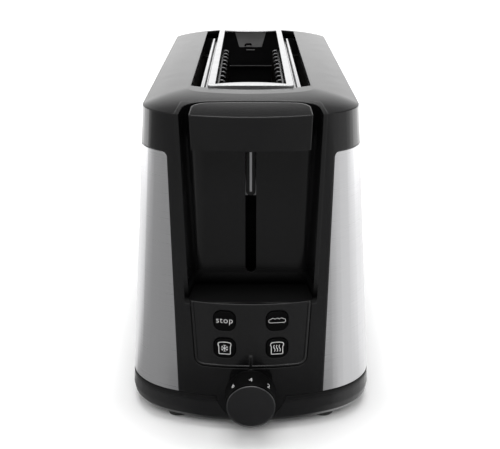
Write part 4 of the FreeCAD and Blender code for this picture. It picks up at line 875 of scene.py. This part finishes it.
def mirrored_floor(tree):
    """The floor's painted reflection in mirror rays, an emission. Its tone goes by the direction from the
    toaster's front, apart for left and right. Its level rises away from the body, with a painted sheen close
    beside it and painted windows far behind it."""
    x, wide, y, away = from_body(tree)
    turn = maths(tree, "ARCTAN2", maths(tree, "ADD", y, MIRROR_PIVOT), wide)
    share = maths(tree, "ADD", maths(tree, "DIVIDE", turn, math.pi), 0.5)
    sides = tree.nodes.new("ShaderNodeMix")
    sides.data_type = "RGBA"
    tree.links.new(maths(tree, "GREATER_THAN", x, 0.0), sides.inputs["Factor"])
    tree.links.new(stepped(tree, share, PAINTED_MIRROR_LEFT), sides.inputs["A"])
    tree.links.new(stepped(tree, share, PAINTED_MIRROR_RIGHT), sides.inputs["B"])
    shine = tree.nodes.new("ShaderNodeEmission")
    tree.links.new(sides.outputs["Result"], shine.inputs["Color"])
    painted_windows = maths(tree, "MULTIPLY", ramped(tree, share, PAINTED_WINDOW_SIDE), ramped(tree, away, PAINTED_WINDOW_FAR))
    painted_sheen = maths(tree, "MULTIPLY", ramped(tree, share, PAINTED_SHEEN_SIDE), ramped(tree, away, PAINTED_SHEEN_NEAR))
    level = maths(tree, "ADD", maths(tree, "ADD", ramped(tree, away, PAINTED_MIRROR_NEAR), painted_sheen), painted_windows)
    tree.links.new(level, shine.inputs["Strength"])
    return shine


def floor_sheet():
    """A flat square grid on z = 0, matt white with a painted glow for the camera that is faint close round
    the body, and a painted reflection in mirror rays.
    """
    ticks = np.linspace(-FLOOR_REACH, FLOOR_REACH, FLOOR_TICKS)
    x, y = np.meshgrid(ticks, ticks, indexing="ij")
    points = np.stack([x, y, np.zeros_like(x)], axis=-1).reshape(-1, 3)
    index = np.arange(FLOOR_TICKS ** 2).reshape(FLOOR_TICKS, FLOOR_TICKS)
    quads = np.stack([index[:-1, :-1], index[1:, :-1], index[1:, 1:], index[:-1, 1:]], axis=-1).reshape(-1, 4)
    mesh = bpy.data.meshes.new("floor")
    mesh.from_pydata(points.tolist(), [], quads.tolist())
    piece = bpy.data.objects.new("floor", mesh)
    bpy.context.scene.collection.objects.link(piece)
    material, tree, shader = finish("floor_white", (FLOOR_TONE,) * 3, roughness=0.9)
    shader.inputs["Specular IOR Level"].default_value = 0.0
    tones = two_tones(tree, noise(tree, scale=3.0), (FLOOR_TONE * FLOOR_PATCH,) * 3, (FLOOR_TONE,) * 3)
    tree.links.new(tones, shader.inputs["Base Color"])
    rays = tree.nodes.new("ShaderNodeLightPath")
    away = from_body(tree)[3]
    # Painted glow for camera rays: faint close round the body and stronger away from it, so the floor is
    # painted darker near the body.
    painted_glow = maths(tree, "ADD", ramped(tree, away, PAINTED_GLOW_NEAR), ramped(tree, away, PAINTED_GLOW_FAR))
    seen = maths(tree, "MULTIPLY", rays.outputs["Is Camera Ray"], painted_glow)
    shader.inputs["Emission Color"].default_value = (1.0, 1.0, 1.0, 1.0)
    tree.links.new(seen, shader.inputs["Emission Strength"])
    # Painted reflection: mirror rays see the emission instead of the lit floor.
    either = tree.nodes.new("ShaderNodeMixShader")
    tree.links.new(rays.outputs["Is Glossy Ray"], either.inputs["Fac"])
    tree.links.new(shader.outputs["BSDF"], either.inputs[1])
    tree.links.new(mirrored_floor(tree).outputs["Emission"], either.inputs[2])
    tree.links.new(either.outputs["Shader"], tree.nodes["Material Output"].inputs["Surface"])
    mesh.materials.append(material)


floor_sheet()


def lamp(name, place, aim, size, watts, shining=False):
    """A soft area lamp that points at a place, and shows in mirror rays or not."""
    light = bpy.data.lights.new(name, "AREA")
    light.shape = "RECTANGLE"
    light.size, light.size_y = size
    light.energy = watts
    piece = bpy.data.objects.new(name, light)
    piece.location = place
    way = np.array(aim, float) - np.array(place, float)
    pitch = math.atan2(math.hypot(way[0], way[1]), -way[2])
    piece.rotation_euler = (pitch, 0.0, math.atan2(way[1], way[0]) - math.pi / 2)
    bpy.context.scene.collection.objects.link(piece)
    piece.visible_glossy = shining


lamp("lamp_top", place=(0.0, 0.2, 2.2), aim=(0.0, 0.0, 0.0), size=(1.6, 1.6), watts=38.0, shining=True)
lamp("lamp_front", place=(0.0, -1.7, 1.5), aim=(0.0, -0.1, 0.0), size=(1.2, 1.0), watts=18.0)
lamp("lamp_right", place=(1.6, -0.2, 1.1), aim=(0.0, 0.0, 0.1), size=(1.2, 1.6), watts=8.0)
lamp("lamp_left", place=(-1.6, -0.4, 1.1), aim=(0.0, 0.0, 0.1), size=(1.2, 1.6), watts=8.0)

ROOM_AHEAD = (0.13, 0.4, 1.1, 0.12)
ROOM_BEHIND = (0.5, 0.6, 0.6, 1.8)
ROOM_TURN = (-0.1, 0.1, 0.0, 1.0)
ROOM_SOFT = 0.3


def surround():
    """White for camera rays, and a soft grey for the light it gives. For mirror rays it is bright low down
    ahead and high up behind the camera."""
    world = bpy.data.worlds.new("studio")
    world.use_nodes = True
    bpy.context.scene.world = world
    tree = world.node_tree
    shade = tree.nodes["Background"]
    _, y, z = own_axes(tree, "Generated")
    rays = tree.nodes.new("ShaderNodeLightPath")
    ahead, behind = ramped(tree, z, ROOM_AHEAD), ramped(tree, z, ROOM_BEHIND)
    facing = ramped(tree, y, ROOM_TURN)
    turned_ahead = maths(tree, "MULTIPLY", facing, maths(tree, "SUBTRACT", ahead, behind))
    mirror = maths(tree, "ADD", behind, turned_ahead)
    shown = maths(tree, "MAXIMUM", rays.outputs["Is Glossy Ray"], rays.outputs["Is Transmission Ray"])
    soft = maths(tree, "MULTIPLY", maths(tree, "SUBTRACT", 1.0, shown), ROOM_SOFT)
    level = maths(tree, "ADD", maths(tree, "MULTIPLY", mirror, shown), soft)
    tree.links.new(maths(tree, "MAXIMUM", level, rays.outputs["Is Camera Ray"]), shade.inputs["Strength"])
    shade.inputs["Color"].default_value = (1.0, 1.0, 1.0, 1.0)


surround()

CAMERA_PLACE = (-0.00045, -0.7432, 0.291)
CAMERA_PITCH = 16.77
FOCAL_PIXELS = 1090.0
FRAME_PIXELS = 500.0
SENSOR = 36.0


def camera():
    """The camera at the photograph's height and angle."""
    eye = bpy.data.cameras.new("camera")
    eye.sensor_width = SENSOR
    eye.lens = FOCAL_PIXELS / FRAME_PIXELS * SENSOR
    piece = bpy.data.objects.new("camera", eye)
    piece.location = CAMERA_PLACE
    piece.rotation_euler = (math.radians(90.0 - CAMERA_PITCH), 0.0, 0.0)
    bpy.context.scene.collection.objects.link(piece)
    bpy.context.scene.camera = piece


camera()
bpy.context.scene.view_settings.view_transform = "Standard"
